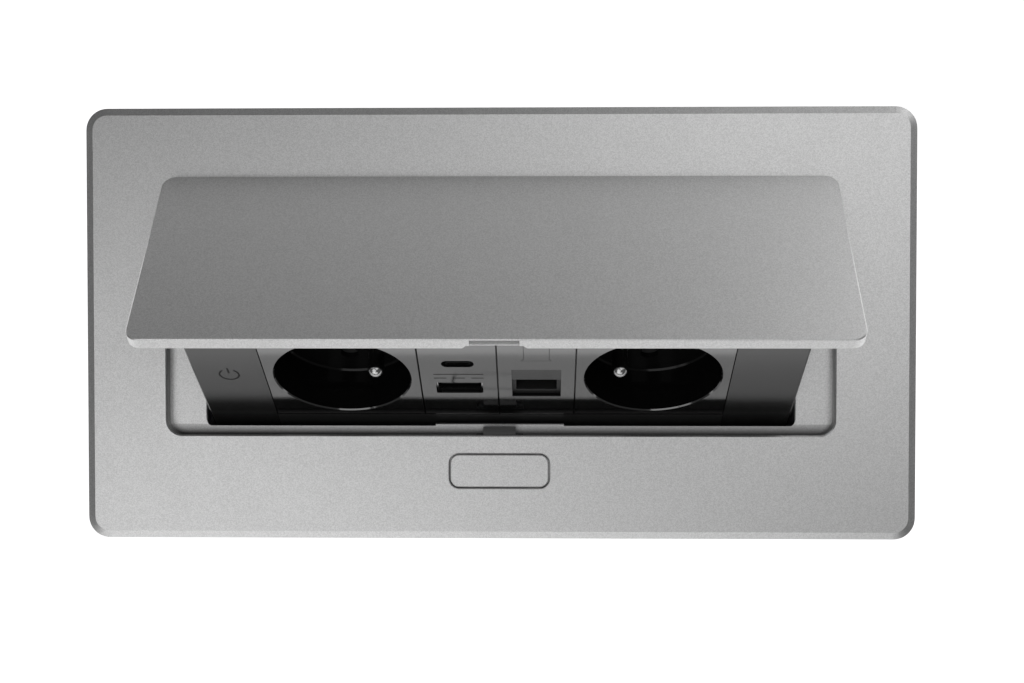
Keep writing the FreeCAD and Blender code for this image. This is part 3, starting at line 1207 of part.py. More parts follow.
def make_network_module():
    """Face, sliding shutter, jack and its contacts."""
    x = MODULE_W / 4
    half = MODULE_W / 4 - MODULE_GAP
    j, p = JACK_W / 2, PORT_W / 2
    top, bottom = SOCKET_S + JACK_FROM, SOCKET_S + JACK_TO
    wide = j + JACK_LIP
    room = wide + SHEET_GAP
    shut_from = SOCKET_S + NET_SHUTTER_FROM
    face = module_plate(x - half, x + half)
    face = face.cut(face_box(x - j, x + j, 0, MODULE_T, top, bottom))
    face = face.cut(face_box(x - room, x + room, NET_SKIN, MODULE_T, shut_from - NET_SHUTTER_RISE,
                             bottom + JACK_LIP + SHEET_GAP))
    save("network_face", opened(closed(face)))
    d0 = NET_SKIN + SHEET_GAP
    d1 = d0 + NET_SHUTTER_T + SHEET_GAP
    shutter = face_box(x - wide, x + wide, d0, d0 + NET_SHUTTER_T, shut_from, SOCKET_S + NET_SHUTTER_TO)
    save("network_shutter", opened(closed(shutter)))
    jack = face_box(x - wide, x + wide, d1, d1 + JACK_D, top - JACK_LIP, bottom + JACK_LIP)
    port_top = SOCKET_S + PORT_FROM
    jack = jack.cut(face_box(x - p, x + p, d1, d1 + PORT_D, port_top, SOCKET_S + PORT_TO))
    save("network_jack", opened(closed(jack)))
    make_network_contacts(x, d1, port_top)


# ---- wiring inside the block ----
def make_wiring():
    """Bus bars behind the sockets and the terminal block they end in."""
    reach = SOCKET_X + BAR_PAST
    bars = []
    for s in (SOCKET_S - BAR_AT, SOCKET_S + BAR_AT):
        bar = face_box(-reach, reach, BAR_D, BAR_D + BAR_T, s - BAR_HALF_H, s + BAR_HALF_H)
        for side in (-1, 1):
            earth = V(side * (SOCKET_X - EARTH_OFFSET), BAR_D, -SOCKET_S)
            bar = bar.cut(rod(EARTH_R + SLIDE_GAP, BAR_T, earth, Y_AXIS))
        bars.append(opened(closed(bar)))
    save("bus_bars", bars)
    d0 = TERMINAL_FRONT_D
    block = face_box(-TERMINAL_HALF_W, TERMINAL_HALF_W, d0, d0 + TERMINAL_D,
                     SOCKET_S - TERMINAL_HALF_H, SOCKET_S + TERMINAL_HALF_H)
    for i in (-1, 0, 1):
        block = block.cut(rod(TERMINAL_HOLE_R, TERMINAL_D, V(i * TERMINAL_PITCH, d0, -SOCKET_S), Y_AXIS))
    save("terminal_block", opened(closed(block)))


def main():
    """Build every piece."""
    os.makedirs("parts", exist_ok=True)
    make_top_plate()
    make_desk_gasket()
    make_housing()
    make_housing_screws()
    make_cable_grommet()
    make_pivot_pins()
    make_torsion_springs()
    make_open_stops()
    make_rest_bumpers()
    make_gear_sector()
    make_damper()
    make_push_button()
    make_latch_slide()
    make_latch_bracket()
    make_latch_springs()
    make_clamps()
    make_lid()
    make_carriage_frame()
    make_pivot_bushes()
    make_face_frame()
    make_end_caps()
    make_rear_cover()
    make_gland("mains_gland", MAINS_GLAND_X, MAINS_GLAND_R, MAINS_CABLE_R)
    make_gland("data_gland", DATA_GLAND_X, DATA_GLAND_R, DATA_CABLE_R)
    for name, side in SIDES.items():
        make_socket(name, side)
    make_usb_module()
    make_network_module()
    make_wiring()


main()
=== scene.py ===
"""Looks of the recessed desk power unit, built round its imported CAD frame."""

import json
import logging
import math
from dataclasses import dataclass, field
from enum import Enum

import bmesh
import bpy
from mathutils import Euler, Matrix, Vector


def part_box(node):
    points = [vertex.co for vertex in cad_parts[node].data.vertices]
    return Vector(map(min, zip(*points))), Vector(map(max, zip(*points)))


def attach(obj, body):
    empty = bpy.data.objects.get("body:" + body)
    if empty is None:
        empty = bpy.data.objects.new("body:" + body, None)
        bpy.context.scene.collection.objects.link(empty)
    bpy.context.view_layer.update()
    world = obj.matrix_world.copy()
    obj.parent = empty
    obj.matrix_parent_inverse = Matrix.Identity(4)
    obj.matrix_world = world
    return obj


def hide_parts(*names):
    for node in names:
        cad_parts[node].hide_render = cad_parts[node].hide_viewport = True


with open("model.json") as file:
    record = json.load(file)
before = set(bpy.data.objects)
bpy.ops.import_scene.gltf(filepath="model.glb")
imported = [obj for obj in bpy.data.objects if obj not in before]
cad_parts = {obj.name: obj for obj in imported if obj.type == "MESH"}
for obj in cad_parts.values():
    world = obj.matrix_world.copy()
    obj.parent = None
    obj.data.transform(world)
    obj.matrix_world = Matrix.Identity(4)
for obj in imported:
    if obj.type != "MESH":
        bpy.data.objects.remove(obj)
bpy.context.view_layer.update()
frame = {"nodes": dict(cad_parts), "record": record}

LOG = logging.getLogger("desk_power_unit")
MM = 0.001


# ---------------------------------------------------------------- shader maths
class Wire:
    """A shader socket that takes part in Python expressions on values."""

    def __init__(self, tree: bpy.types.NodeTree, socket: bpy.types.NodeSocket) -> None:
        """Wrap one output socket of a tree."""
        self.tree = tree
        self.socket = socket

    def _math(self, operation: str, first: object, second: object) -> "Wire":
        """Add one Math node.

        Args:
            operation: The Math node's operation.
            first: A Wire or a number.
            second: A Wire or a number.

        Returns:
            The node's output.
        """
        node = self.tree.nodes.new("ShaderNodeMath")
        node.operation = operation
        for socket, value in zip(node.inputs, (first, second)):
            if isinstance(value, Wire):
                self.tree.links.new(value.socket, socket)
            else:
                socket.default_value = float(value)
        return Wire(self.tree, node.outputs[0])

    def __add__(self, other: object) -> "Wire":
        """Self plus other."""
        return self._math("ADD", self, other)

    __radd__ = __add__

    def __sub__(self, other: object) -> "Wire":
        """Self minus other."""
        return self._math("SUBTRACT", self, other)

    def __rsub__(self, other: object) -> "Wire":
        """Other minus self."""
        return self._math("SUBTRACT", other, self)

    def __mul__(self, other: object) -> "Wire":
        """Self times other."""
        return self._math("MULTIPLY", self, other)

    __rmul__ = __mul__

    def __lt__(self, other: object) -> "Wire":
        """One where self is less than other, else zero."""
        return self._math("LESS_THAN", self, other)

    def __gt__(self, other: object) -> "Wire":
        """One where self is more than other, else zero."""
        return self._math("GREATER_THAN", self, other)

    def held(self) -> "Wire":
        """Self kept between 0 and 1."""
        return self._math("MINIMUM", self._math("MAXIMUM", self, 0.0), 1.0)


class ShaderBench:
    """One material under construction."""

    def __init__(self, name: str) -> None:
        """Start a material with only a Principled shader and its output.

        Args:
            name: The material's name.
        """
        self.material = bpy.data.materials.new(name)
        self.material.use_nodes = True
        self.tree = self.material.node_tree
        self.tree.nodes.clear()
        out = self.tree.nodes.new("ShaderNodeOutputMaterial")
        self.shader = self.tree.nodes.new("ShaderNodeBsdfPrincipled")
        self.tree.links.new(self.shader.outputs[0], out.inputs[0])

    def node(self, kind: str, settings: dict[str, object] | None = None, out: int | str = 0,
             **sockets: object) -> Wire:
        """Add any node.

        Args:
            kind: The node's type.
            settings: Properties set before the sockets; a ramp's stops go under "stops".
            out: Which output to return.
            **sockets: Values or Wires for inputs, spaces written as underscores.

        Returns:
            The chosen output.
        """
        made = self.tree.nodes.new(kind)
        for key, value in (settings or {}).items():
            if key == "stops":
                self._stops(made.color_ramp, value)
            else:
                setattr(made, key, value)
        for key, value in sockets.items():
            name = key.replace("_", " ")
            numbered = name[:2] == "in" and name[2:].isdigit()
            socket = made.inputs[int(name[2:])] if numbered else made.inputs[name]
            if isinstance(value, Wire):
                self.tree.links.new(value.socket, socket)
            else:
                socket.default_value = value
        return Wire(self.tree, made.outputs[out])

    @staticmethod
    def _stops(ramp: bpy.types.ColorRamp, stops: tuple[tuple[float, float], ...]) -> None:
        """Set a ramp's stops.

        Args:
            ramp: The ramp.
            stops: Pairs of position and grey level.
        """
        while len(ramp.elements) < len(stops):
            ramp.elements.new(0.5)
        for element, (place, level) in zip(ramp.elements, stops):
            element.position = place
            element.color = (level, level, level, 1.0)

    def place(self) -> Wire:
        """Object coordinates, in metres."""
        return self.node("ShaderNodeTexCoord", out="Object")

    def noise(self, scale: float, detail: float = 2.0, roughness: float = 0.5) -> Wire:
        """Noise over the object's own place.

        Args:
            scale: Features per metre.
            detail: Octaves.
            roughness: How strong the finer octaves are.

        Returns:
            The noise, from 0 to 1.
        """
        return self.node("ShaderNodeTexNoise", Vector=self.place(), Scale=scale, Detail=detail,
                         Roughness=roughness)

    def blend(self, factor: Wire, first: tuple[float, ...], second: tuple[float, ...]) -> Wire:
        """Mix two colours.

        Args:
            factor: 0 for the first colour, 1 for the second.
            first: A colour.
            second: A colour.

        Returns:
            The mixed colour.
        """
        mix = self.tree.nodes.new("ShaderNodeMix")
        mix.data_type = "RGBA"
        self.tree.links.new(factor.socket, mix.inputs[0])
        mix.inputs[6].default_value = (*first, 1.0)
        mix.inputs[7].default_value = (*second, 1.0)
        return Wire(self.tree, mix.outputs[2])

    def axes(self) -> tuple[Wire, Wire, Wire]:
        """Object x, y and z, in millimetres."""
        parts = self.tree.nodes.new("ShaderNodeSeparateXYZ")
        self.tree.links.new(self.place().socket, parts.inputs[0])
        return tuple(Wire(self.tree, out) * (1 / MM) for out in parts.outputs)

    def dimmed(self, colour: Wire, factor: Wire, tint: tuple[float, ...]) -> Wire:
        """Mix a colour towards a tint.

        Args:
            colour: The colour.
            factor: 0 keeps it, 1 gives the tint.
            tint: The colour to go towards.

        Returns:
            The mixed colour.
        """
        mix = self.tree.nodes.new("ShaderNodeMix")
        mix.data_type = "RGBA"
        self.tree.links.new(factor.socket, mix.inputs[0])
        self.tree.links.new(colour.socket, mix.inputs[6])
        mix.inputs[7].default_value = (*tint, 1.0)
        return Wire(self.tree, mix.outputs[2])

    def bump(self, height: Wire, depth: float) -> None:
        """Raise the surface by a height map.

        Args:
            height: From 0 to 1.
            depth: Its size in metres.
        """
        normal = self.node("ShaderNodeBump", Strength=1.0, Distance=depth, Height=height)
        self.tree.links.new(normal.socket, self.shader.inputs["Normal"])

    def feed(self, **sockets: object) -> None:
        """Set or link the shader's sockets.

        Args:
            **sockets: Values or Wires, spaces written as underscores.
        """
        for key, value in sockets.items():
            socket = self.shader.inputs[key.replace("_", " ")]
            if isinstance(value, Wire):
                self.tree.links.new(value.socket, socket)
            else:
                socket.default_value = value


class GeometryBench:
    """One Geometry Nodes tree under construction."""

    def __init__(self, name: str, inputs: dict[str, str]) -> None:
        """Start a tree with a geometry input, named inputs and a geometry output.

        Args:
            name: The tree's name.
            inputs: Each further input's name and socket type.
        """
        self.tree = bpy.data.node_groups.new(name, "GeometryNodeTree")
        sockets = self.tree.interface
        sockets.new_socket("Geometry", in_out="INPUT", socket_type="NodeSocketGeometry")
        self.keys = {label: sockets.new_socket(label, in_out="INPUT", socket_type=kind).identifier
                     for label, kind in inputs.items()}
        sockets.new_socket("Geometry", in_out="OUTPUT", socket_type="NodeSocketGeometry")
        self.entry = self.tree.nodes.new("NodeGroupInput")

    def given(self, label: str) -> bpy.types.NodeSocket:
        """The named input of the tree."""
        return self.entry.outputs[label]

    def node(self, kind: str, settings: dict[str, object] | None = None,
             **sockets: object) -> bpy.types.NodeSocket:
        """Add a node.

        Args:
            kind: The node's type.
            settings: Properties set before the sockets.
            **sockets: Values or sockets for inputs, spaces written as underscores.

        Returns:
            The node's first output.
        """
        made = self.tree.nodes.new(kind)
        for key, value in (settings or {}).items():
            setattr(made, key, value)
        for key, value in sockets.items():
            name = key.replace("_", " ")
            socket = made.inputs[int(name[2:])] if name[2:].isdigit() else made.inputs[name]
            if isinstance(value, bpy.types.NodeSocket):
                self.tree.links.new(value, socket)
            else:
                socket.default_value = value
        return made.outputs[0]

    def close(self, shape: bpy.types.NodeSocket) -> None:
        """End the tree in real geometry with its material.

        Args:
            shape: The geometry that the tree has made.
        """
        real = self.node("GeometryNodeRealizeInstances", Geometry=shape)
        painted = self.node("GeometryNodeSetMaterial", Geometry=real, Material=self.given("Material"))
        end = self.tree.nodes.new("NodeGroupOutput")
        self.tree.links.new(painted, end.inputs[0])

    def grow(self, name: str, seed: bpy.types.Mesh, values: dict[str, object]) -> bpy.types.Mesh:
        """Run the tree once on a mesh.

        Args:
            name: The name of the mesh that comes out.
            seed: The mesh that goes in.
            values: A value for each named input.

        Returns:
            A plain mesh.
        """
        thing = bpy.data.objects.new(name, seed)
        bpy.context.collection.objects.link(thing)
        modifier = thing.modifiers.new(name, "NODES")
        modifier.node_group = self.tree
        for label, value in values.items():
            modifier[self.keys[label]] = value
        graph = bpy.context.evaluated_depsgraph_get()
        mesh = bpy.data.meshes.new_from_object(thing.evaluated_get(graph))
        mesh.name = name
        bpy.data.objects.remove(thing)
        return mesh


def strip_tree() -> GeometryBench:
    """A flat strip of print that follows a path in the XY plane."""
    bench = GeometryBench("print_strip", {"Width": "NodeSocketFloat", "Height": "NodeSocketFloat",
                                          "Material": "NodeSocketMaterial"})
    path = bench.node("GeometryNodeMeshToCurve", Mesh=bench.given("Geometry"))
    level = bench.node("GeometryNodeSetCurveNormal", {"mode": "Z_UP"}, Curve=path)
    section = bench.node("GeometryNodeCurvePrimitiveQuadrilateral", Width=bench.given("Width"),
                         Height=bench.given("Height"))
    bench.close(bench.node("GeometryNodeCurveToMesh", Curve=level, Profile_Curve=section, Fill_Caps=True))
    return bench


def row_tree() -> GeometryBench:
    """A row of equal small blocks, one at each point of a line."""
    bench = GeometryBench("block_row", {"Size": "NodeSocketVector", "Material": "NodeSocketMaterial"})
    block = bench.node("GeometryNodeMeshCube", Size=bench.given("Size"))
    bench.close(bench.node("GeometryNodeInstanceOnPoints", Points=bench.given("Geometry"), Instance=block))
    return bench


def thread_tree() -> GeometryBench:
    """A threaded rod that stands on each point of the mesh given."""
    bench = GeometryBench("threaded_rod", {
        "Core radius": "NodeSocketFloat", "Ridge radius": "NodeSocketFloat", "Ridge size": "NodeSocketFloat",
        "Length": "NodeSocketFloat", "Thread length": "NodeSocketFloat", "Turns": "NodeSocketFloat",
        "Material": "NodeSocketMaterial"})
    half = bench.node("ShaderNodeMath", {"operation": "MULTIPLY"}, in0=bench.given("Length"), in1=0.5)
    middle = bench.node("ShaderNodeCombineXYZ", Z=half)
    core = bench.node("GeometryNodeMeshCylinder", Vertices=32, Radius=bench.given("Core radius"),
                      Depth=bench.given("Length"))
    stood = bench.node("GeometryNodeTransform", Geometry=core, Translation=middle)
    helix = bench.node("GeometryNodeCurveSpiral", Resolution=20, Rotations=bench.given("Turns"),
                       Start_Radius=bench.given("Ridge radius"), End_Radius=bench.given("Ridge radius"),
                       Height=bench.given("Thread length"))
    section = bench.node("GeometryNodeCurvePrimitiveCircle", Resolution=4, Radius=bench.given("Ridge size"))
    ridge = bench.node("GeometryNodeCurveToMesh", Curve=helix, Profile_Curve=section, Fill_Caps=True)
    inset = bench.node("ShaderNodeCombineXYZ", Z=bench.given("Ridge size"))
    raised = bench.node("GeometryNodeTransform", Geometry=ridge, Translation=inset)
    both = bench.tree.nodes.new("GeometryNodeJoinGeometry")
    bench.tree.links.new(stood, both.inputs[0])
    bench.tree.links.new(raised, both.inputs[0])
    bench.close(bench.node("GeometryNodeInstanceOnPoints", Points=bench.given("Geometry"),
                           Instance=both.outputs[0]))
    return bench


# -------------------------------------------------------------------- finishes
BROAD_SHARE = 40.0
FLAKE_SHARE = 0.6
DRAWN_STRETCH = (0.06, 1.0, 1.0)


class Grain(Enum):
    """How a finish varies over its surface."""

    FLAKE = "metal flakes in lacquer"
    SPANGLE = "crystals of a zinc coat"
    MOULDED = "fine texture of a moulding"
    DRAWN = "lines left by drawing or rolling"


@dataclass(frozen=True)
class Finish:
    """A finish with a fine grain in its colour, gloss and surface."""

    name: str
    dark: tuple[float, float, float]
    light: tuple[float, float, float]
    metallic: float
    roughness: float
    roughness_spread: float
    grain: Grain
    scale: float
    depth: float
    ior: float = 1.5
    takes_painted_shade: bool = False
    polished: bool = False

    def make(self) -> bpy.types.Material:
        """Build the material.

        Returns:
            The finished material.
        """
        bench = ShaderBench(self.name)
        fine = self._pattern(bench)
        broad = bench.noise(self.scale / BROAD_SHARE, detail=3.0)
        tone = bench.node("ShaderNodeValToRGB", {"stops": ((0.25, 0.0), (0.75, 1.0))}, Fac=fine)
        colour = bench.blend(tone, self.dark, self.light)
        # Painted shade: the recess walls and front ledge are darkened in the base colour.
        if self.takes_painted_shade:
            colour = bench.dimmed(colour, painted_recess_shade(bench), PAINTED_SHADE_TINT)
        bench.feed(Base_Color=colour,
                   Roughness=self.roughness + (broad - 0.5) * self.roughness_spread,
                   Metallic=self.metallic, IOR=self.ior)
        if self.polished:
            bench.feed(Coat_Weight=open_face(bench), Coat_IOR=COAT_IOR, Coat_Roughness=COAT_ROUGHNESS)
        bench.bump(fine, self.depth)
        return bench.material

    def _pattern(self, bench: ShaderBench) -> Wire:
        """The grain's own pattern.

        Args:
            bench: The material under construction.

        Returns:
            The pattern, from 0 to 1.
        """
        if self.grain in (Grain.FLAKE, Grain.SPANGLE):
            cells = bench.node("ShaderNodeTexVoronoi", {"feature": "F1"}, out="Color",
                               Vector=bench.place(), Scale=self.scale)
            level = bench.node("ShaderNodeSeparateColor", Color=cells)
            return level * FLAKE_SHARE + bench.noise(self.scale * 0.7, detail=2.0) * (1 - FLAKE_SHARE)
        if self.grain is Grain.DRAWN:
            pulled = bench.node("ShaderNodeMapping", Vector=bench.place(), Scale=DRAWN_STRETCH)
            return bench.node("ShaderNodeTexNoise", Vector=pulled, Scale=self.scale, Detail=2.0,
                              Roughness=0.6)
        return bench.noise(self.scale, detail=2.0, roughness=0.6)


def grey(level: float, warm: float = 0.0) -> tuple[float, float, float]:
    """A grey, a little warm or cold.

    Args:
        level: Linear brightness.
        warm: How far red and blue part.

    Returns:
        The colour.
    """
    return (level * (1 + warm), level, level * (1 - warm))


# The recess and the face, in millimetres, for the painted shade in the recess and the polish of the face,
# which depend on place.
PAINTED_SHADE_TINT = (0.05, 0.05, 0.05)
RECESS_HALF_W = 100.6
RECESS_FRONT_Y = -33.6
RECESS_REAR_Y = 31.9
RECESS_TOP = 2.6
FRONT_STRIP = 3.0
WALL_SHADE = 0.72
WALL_FOOT = -0.9
EDGE_ROOM = 0.3
STRIP_LEAST = 0.25


def painted_recess_shade(bench: ShaderBench) -> Wire:
    """Painted shade that darkens the walls of the recess and its narrow front ledge, where the lid and the
    block shade them.

    Args:
        bench: The material under construction.

    Returns:
        0 on open surfaces, up to 1 deep in the front corner.
    """
    x, y, z = bench.axes()
    inside = (x < RECESS_HALF_W + EDGE_ROOM) * (x > -RECESS_HALF_W - EDGE_ROOM) * (z < RECESS_TOP)
    inside = inside * (y > RECESS_FRONT_Y - EDGE_ROOM) * (y < RECESS_REAR_Y + EDGE_ROOM)
    wall = inside * (z > WALL_FOOT) * WALL_SHADE
    near = ((RECESS_FRONT_Y + FRONT_STRIP) - y) * (1 / FRONT_STRIP)
    depth = near.held() * (1 - STRIP_LEAST) + STRIP_LEAST
    strip = inside * (z < WALL_FOOT) * depth * (y < RECESS_FRONT_Y + FRONT_STRIP)
    return (wall + strip).held()


COAT_IOR = 2.05
COAT_ROUGHNESS = 0.09
FACE_SIN = 0.5373
FACE_COS = 0.8434
FACE_Y = -1.29
FACE_Z = 41.74
POLISH_DEPTH = 0.45


def open_face(bench: ShaderBench) -> Wire:
    """Where the module faces are polished: their fronts, not the wells and ports.

    Args:
        bench: The material under construction.

    Returns:
        1 at the face's own level, 0 deeper in.
    """
    _, y, z = bench.axes()
    depth = (y - FACE_Y) * FACE_COS - (z - FACE_Z) * FACE_SIN
    return depth < POLISH_DEPTH


FINISHES = (
    # The silver lacquer carries painted shade in the recess.
    Finish("silver_lacquer", grey(0.56), grey(0.70), 1.0, 0.40, 0.04, Grain.FLAKE, 4200.0, 0.000012,
           takes_painted_shade=True),
    Finish("gloss_black", grey(0.003), grey(0.005), 0.0, 0.12, 0.03, Grain.MOULDED, 900.0, 0.0000004, ior=1.3,
           polished=True),
    Finish("satin_anthracite", grey(0.008), grey(0.013), 0.0, 0.24, 0.04, Grain.FLAKE, 3000.0, 0.000003,
           ior=1.7),
    Finish("zinc_steel", grey(0.50, -0.02), grey(0.60, -0.02), 1.0, 0.36, 0.1, Grain.SPANGLE, 420.0,
           0.000002),
    Finish("nickel", grey(0.42), grey(0.50), 1.0, 0.2, 0.05, Grain.DRAWN, 1500.0, 0.000001),
    Finish("brass", (0.62, 0.42, 0.16), (0.74, 0.54, 0.24), 1.0, 0.3, 0.1, Grain.DRAWN, 900.0, 0.000002),
    Finish("black_rubber", grey(0.015), grey(0.028), 0.0, 0.75, 0.1, Grain.MOULDED, 2500.0, 0.00002),
    Finish("black_nylon", grey(0.010), grey(0.018), 0.0, 0.42, 0.1, Grain.MOULDED, 2200.0, 0.00001),
    Finish("white_nylon", grey(0.62, 0.03), grey(0.72, 0.03), 0.0, 0.5, 0.1, Grain.MOULDED, 1800.0, 0.000006),
    Finish("green_board", (0.01, 0.09, 0.03), (0.02, 0.13, 0.05), 0.0, 0.3, 0.1, Grain.MOULDED, 900.0,
           0.000004),
    Finish("spring_steel", grey(0.30), grey(0.42), 1.0, 0.3, 0.15, Grain.DRAWN, 1200.0, 0.000003),
    Finish("print_dark", grey(0.010), grey(0.016), 0.0, 0.8, 0.1, Grain.MOULDED, 3000.0, 0.000002),
    Finish("print_faint", grey(0.025), grey(0.035), 0.0, 0.5, 0.1, Grain.MOULDED, 3000.0, 0.000002),
    Finish("dark_steel", grey(0.05), grey(0.08), 0.8, 0.45, 0.1, Grain.DRAWN, 900.0, 0.000003),
    # Painted light: a lighter, duller copy of the silver lacquer, so the keeper lip looks lit where it lies
    # in shade.
    Finish("lip_painted_lit_grey", grey(0.75), grey(0.85), 0.0, 0.6, 0.1, Grain.FLAKE, 3000.0, 0.000004),
    # Painted highlight: a bright metal for the glint along the keeper lip's edge.
    Finish("painted_edge_highlight", grey(0.80), grey(0.90), 1.0, 0.25, 0.05, Grain.DRAWN, 2000.0, 0.000001),
)


# ----------------------------------------------------------------------- stage
class Side(Enum):
    """Where a soft light stands."""

    ABOVE_RIGHT = "above_right"
    ABOVE_LEFT = "above_left"
    FRONT = "front"
    REAR_RIGHT = "rear_right"


@dataclass(frozen=True)
class SoftBox:
    """One large soft light, as bright all over as its radiance says."""

    side: Side
    place: tuple[float, float, float]
    width: float
    height: float
    radiance: float

    def hang(self) -> None:
        """Put the light in the scene, aimed at the unit."""
        data = bpy.data.lights.new("soft_" + self.side.value, "AREA")
        data.shape = "RECTANGLE"
        data.size = self.width
        data.size_y = self.height
        data.energy = math.pi * self.width * self.height * self.radiance
        lamp = bpy.data.objects.new(data.name, data)
        lamp.location = self.place
        lamp.rotation_euler = (-Vector(self.place)).to_track_quat("-Z", "Y").to_euler()
        bpy.context.collection.objects.link(lamp)


SOFT_BOXES = (
    SoftBox(Side.ABOVE_RIGHT, (0.48, 0.45, 1.3), 1.1, 1.1, 1.15),
    SoftBox(Side.ABOVE_LEFT, (-0.42, -0.50, 1.3), 1.15, 1.0, 1.2),
    SoftBox(Side.FRONT, (-0.25, -1.5, 0.95), 2.2, 1.0, 1.05),
    SoftBox(Side.REAR_RIGHT, (1.05, 1.25, 0.35), 1.1, 0.9, 1.9),
)


@dataclass
class Studio:
    """Pale floor with a painted glow, soft light and the camera."""

    camera_place: tuple[float, float, float] = (0.01286, 0.0047, 0.426)
    camera_turn: tuple[float, float, float] = (-1.362, 1.222, -0.017)
    lens: float = 49.42
    sensor: float = 36.0
    near: float = 0.01
    floor_z: float = -0.0600
    floor_half: float = 12.0
    floor_pale: float = 0.8
    floor_roughness: float = 0.9
    # Painted light: the floor glows though it is no lamp, dimmer towards the rear left.
    painted_floor_glow: float = 0.75
    fade_lean: float = 0.8
    fade_from: float = 220.0
    floor_fade: float = 0.0016
    painted_floor_dim: float = 0.25
    sky: float = 0.12

    def build(self) -> None:
        """Make the floor, the lights and the camera."""
        self._floor()
        self._sky()
        for soft_box in SOFT_BOXES:
            soft_box.hang()
        data = bpy.data.cameras.new("camera")
        data.sensor_width = self.sensor
        data.lens = self.lens
        data.clip_start = self.near
        camera = bpy.data.objects.new("camera", data)
        camera.location = self.camera_place
        camera.rotation_euler = Euler([math.radians(a) for a in self.camera_turn], "XYZ")
        bpy.context.collection.objects.link(camera)
        bpy.context.scene.camera = camera
        bpy.context.scene.view_settings.view_transform = "Standard"
        LOG.info("studio ready with %d lights", len(SOFT_BOXES))

    def _floor(self) -> None:
        """A wide pale floor under the unit, with a painted glow that keeps it white without cast shadows and
        dims towards the rear left, which darkens the left of the lid.
        """
        mesh = bpy.data.meshes.new("floor")
        h = self.floor_half
        mesh.from_pydata([(-h, -h, self.floor_z), (h, -h, self.floor_z), (h, h, self.floor_z),
                          (-h, h, self.floor_z)], [], [(0, 1, 2, 3)])
        floor = bpy.data.objects.new("floor", mesh)
        bench = ShaderBench("floor_white")
        x, y, _ = bench.axes()
        # Painted light: the glow dims towards the rear left, which darkens the left of the lid.
        painted_glow_dimming = ((y * self.fade_lean - x - self.fade_from) * self.floor_fade).held()
        tone = bench.blend(painted_glow_dimming, (1.0, 1.0, 1.0), (self.painted_floor_dim,) * 3)
        bench.feed(Base_Color=(*grey(self.floor_pale), 1), Roughness=self.floor_roughness,
                   Emission_Color=tone, Emission_Strength=self.painted_floor_glow)
        mesh.materials.append(bench.material)
        bpy.context.collection.objects.link(floor)

    def _sky(self) -> None:
        """Even fill light from all round."""
        world = bpy.data.worlds.new("studio")
        world.use_nodes = True
        back = world.node_tree.nodes["Background"]
        back.inputs[0].default_value = (1, 1, 1, 1)
        back.inputs[1].default_value = self.sky
        bpy.context.scene.world = world


# -------------------------------------------------------------- shared workshop
@dataclass(frozen=True)
class Pose:
    """Where the open block stands, in millimetres and degrees."""

    pivot_y: float = 41.45
    pivot_z: float = -12.7
    open_angle: float = 41.8
    face_y: float = -1.29
    face_z: float = 41.74
    face_tilt: float = 32.5

    def face(self) -> Matrix:
        """The face's own frame: x across, y up the face, z out of it."""
        a = math.radians(self.face_tilt)
        return Matrix(((1, 0, 0, 0),
                       (0, math.sin(a), -math.cos(a), self.face_y * MM),
                       (0, math.cos(a), math.sin(a), self.face_z * MM),
                       (0, 0, 0, 1)))

    def opened(self) -> Matrix:
        """The turn that opens what is drawn closed."""
        to = Matrix.Translation((0, self.pivot_y * MM, self.pivot_z * MM))
        return to @ Matrix.Rotation(-math.radians(self.open_angle), 4, "X") @ to.inverted()


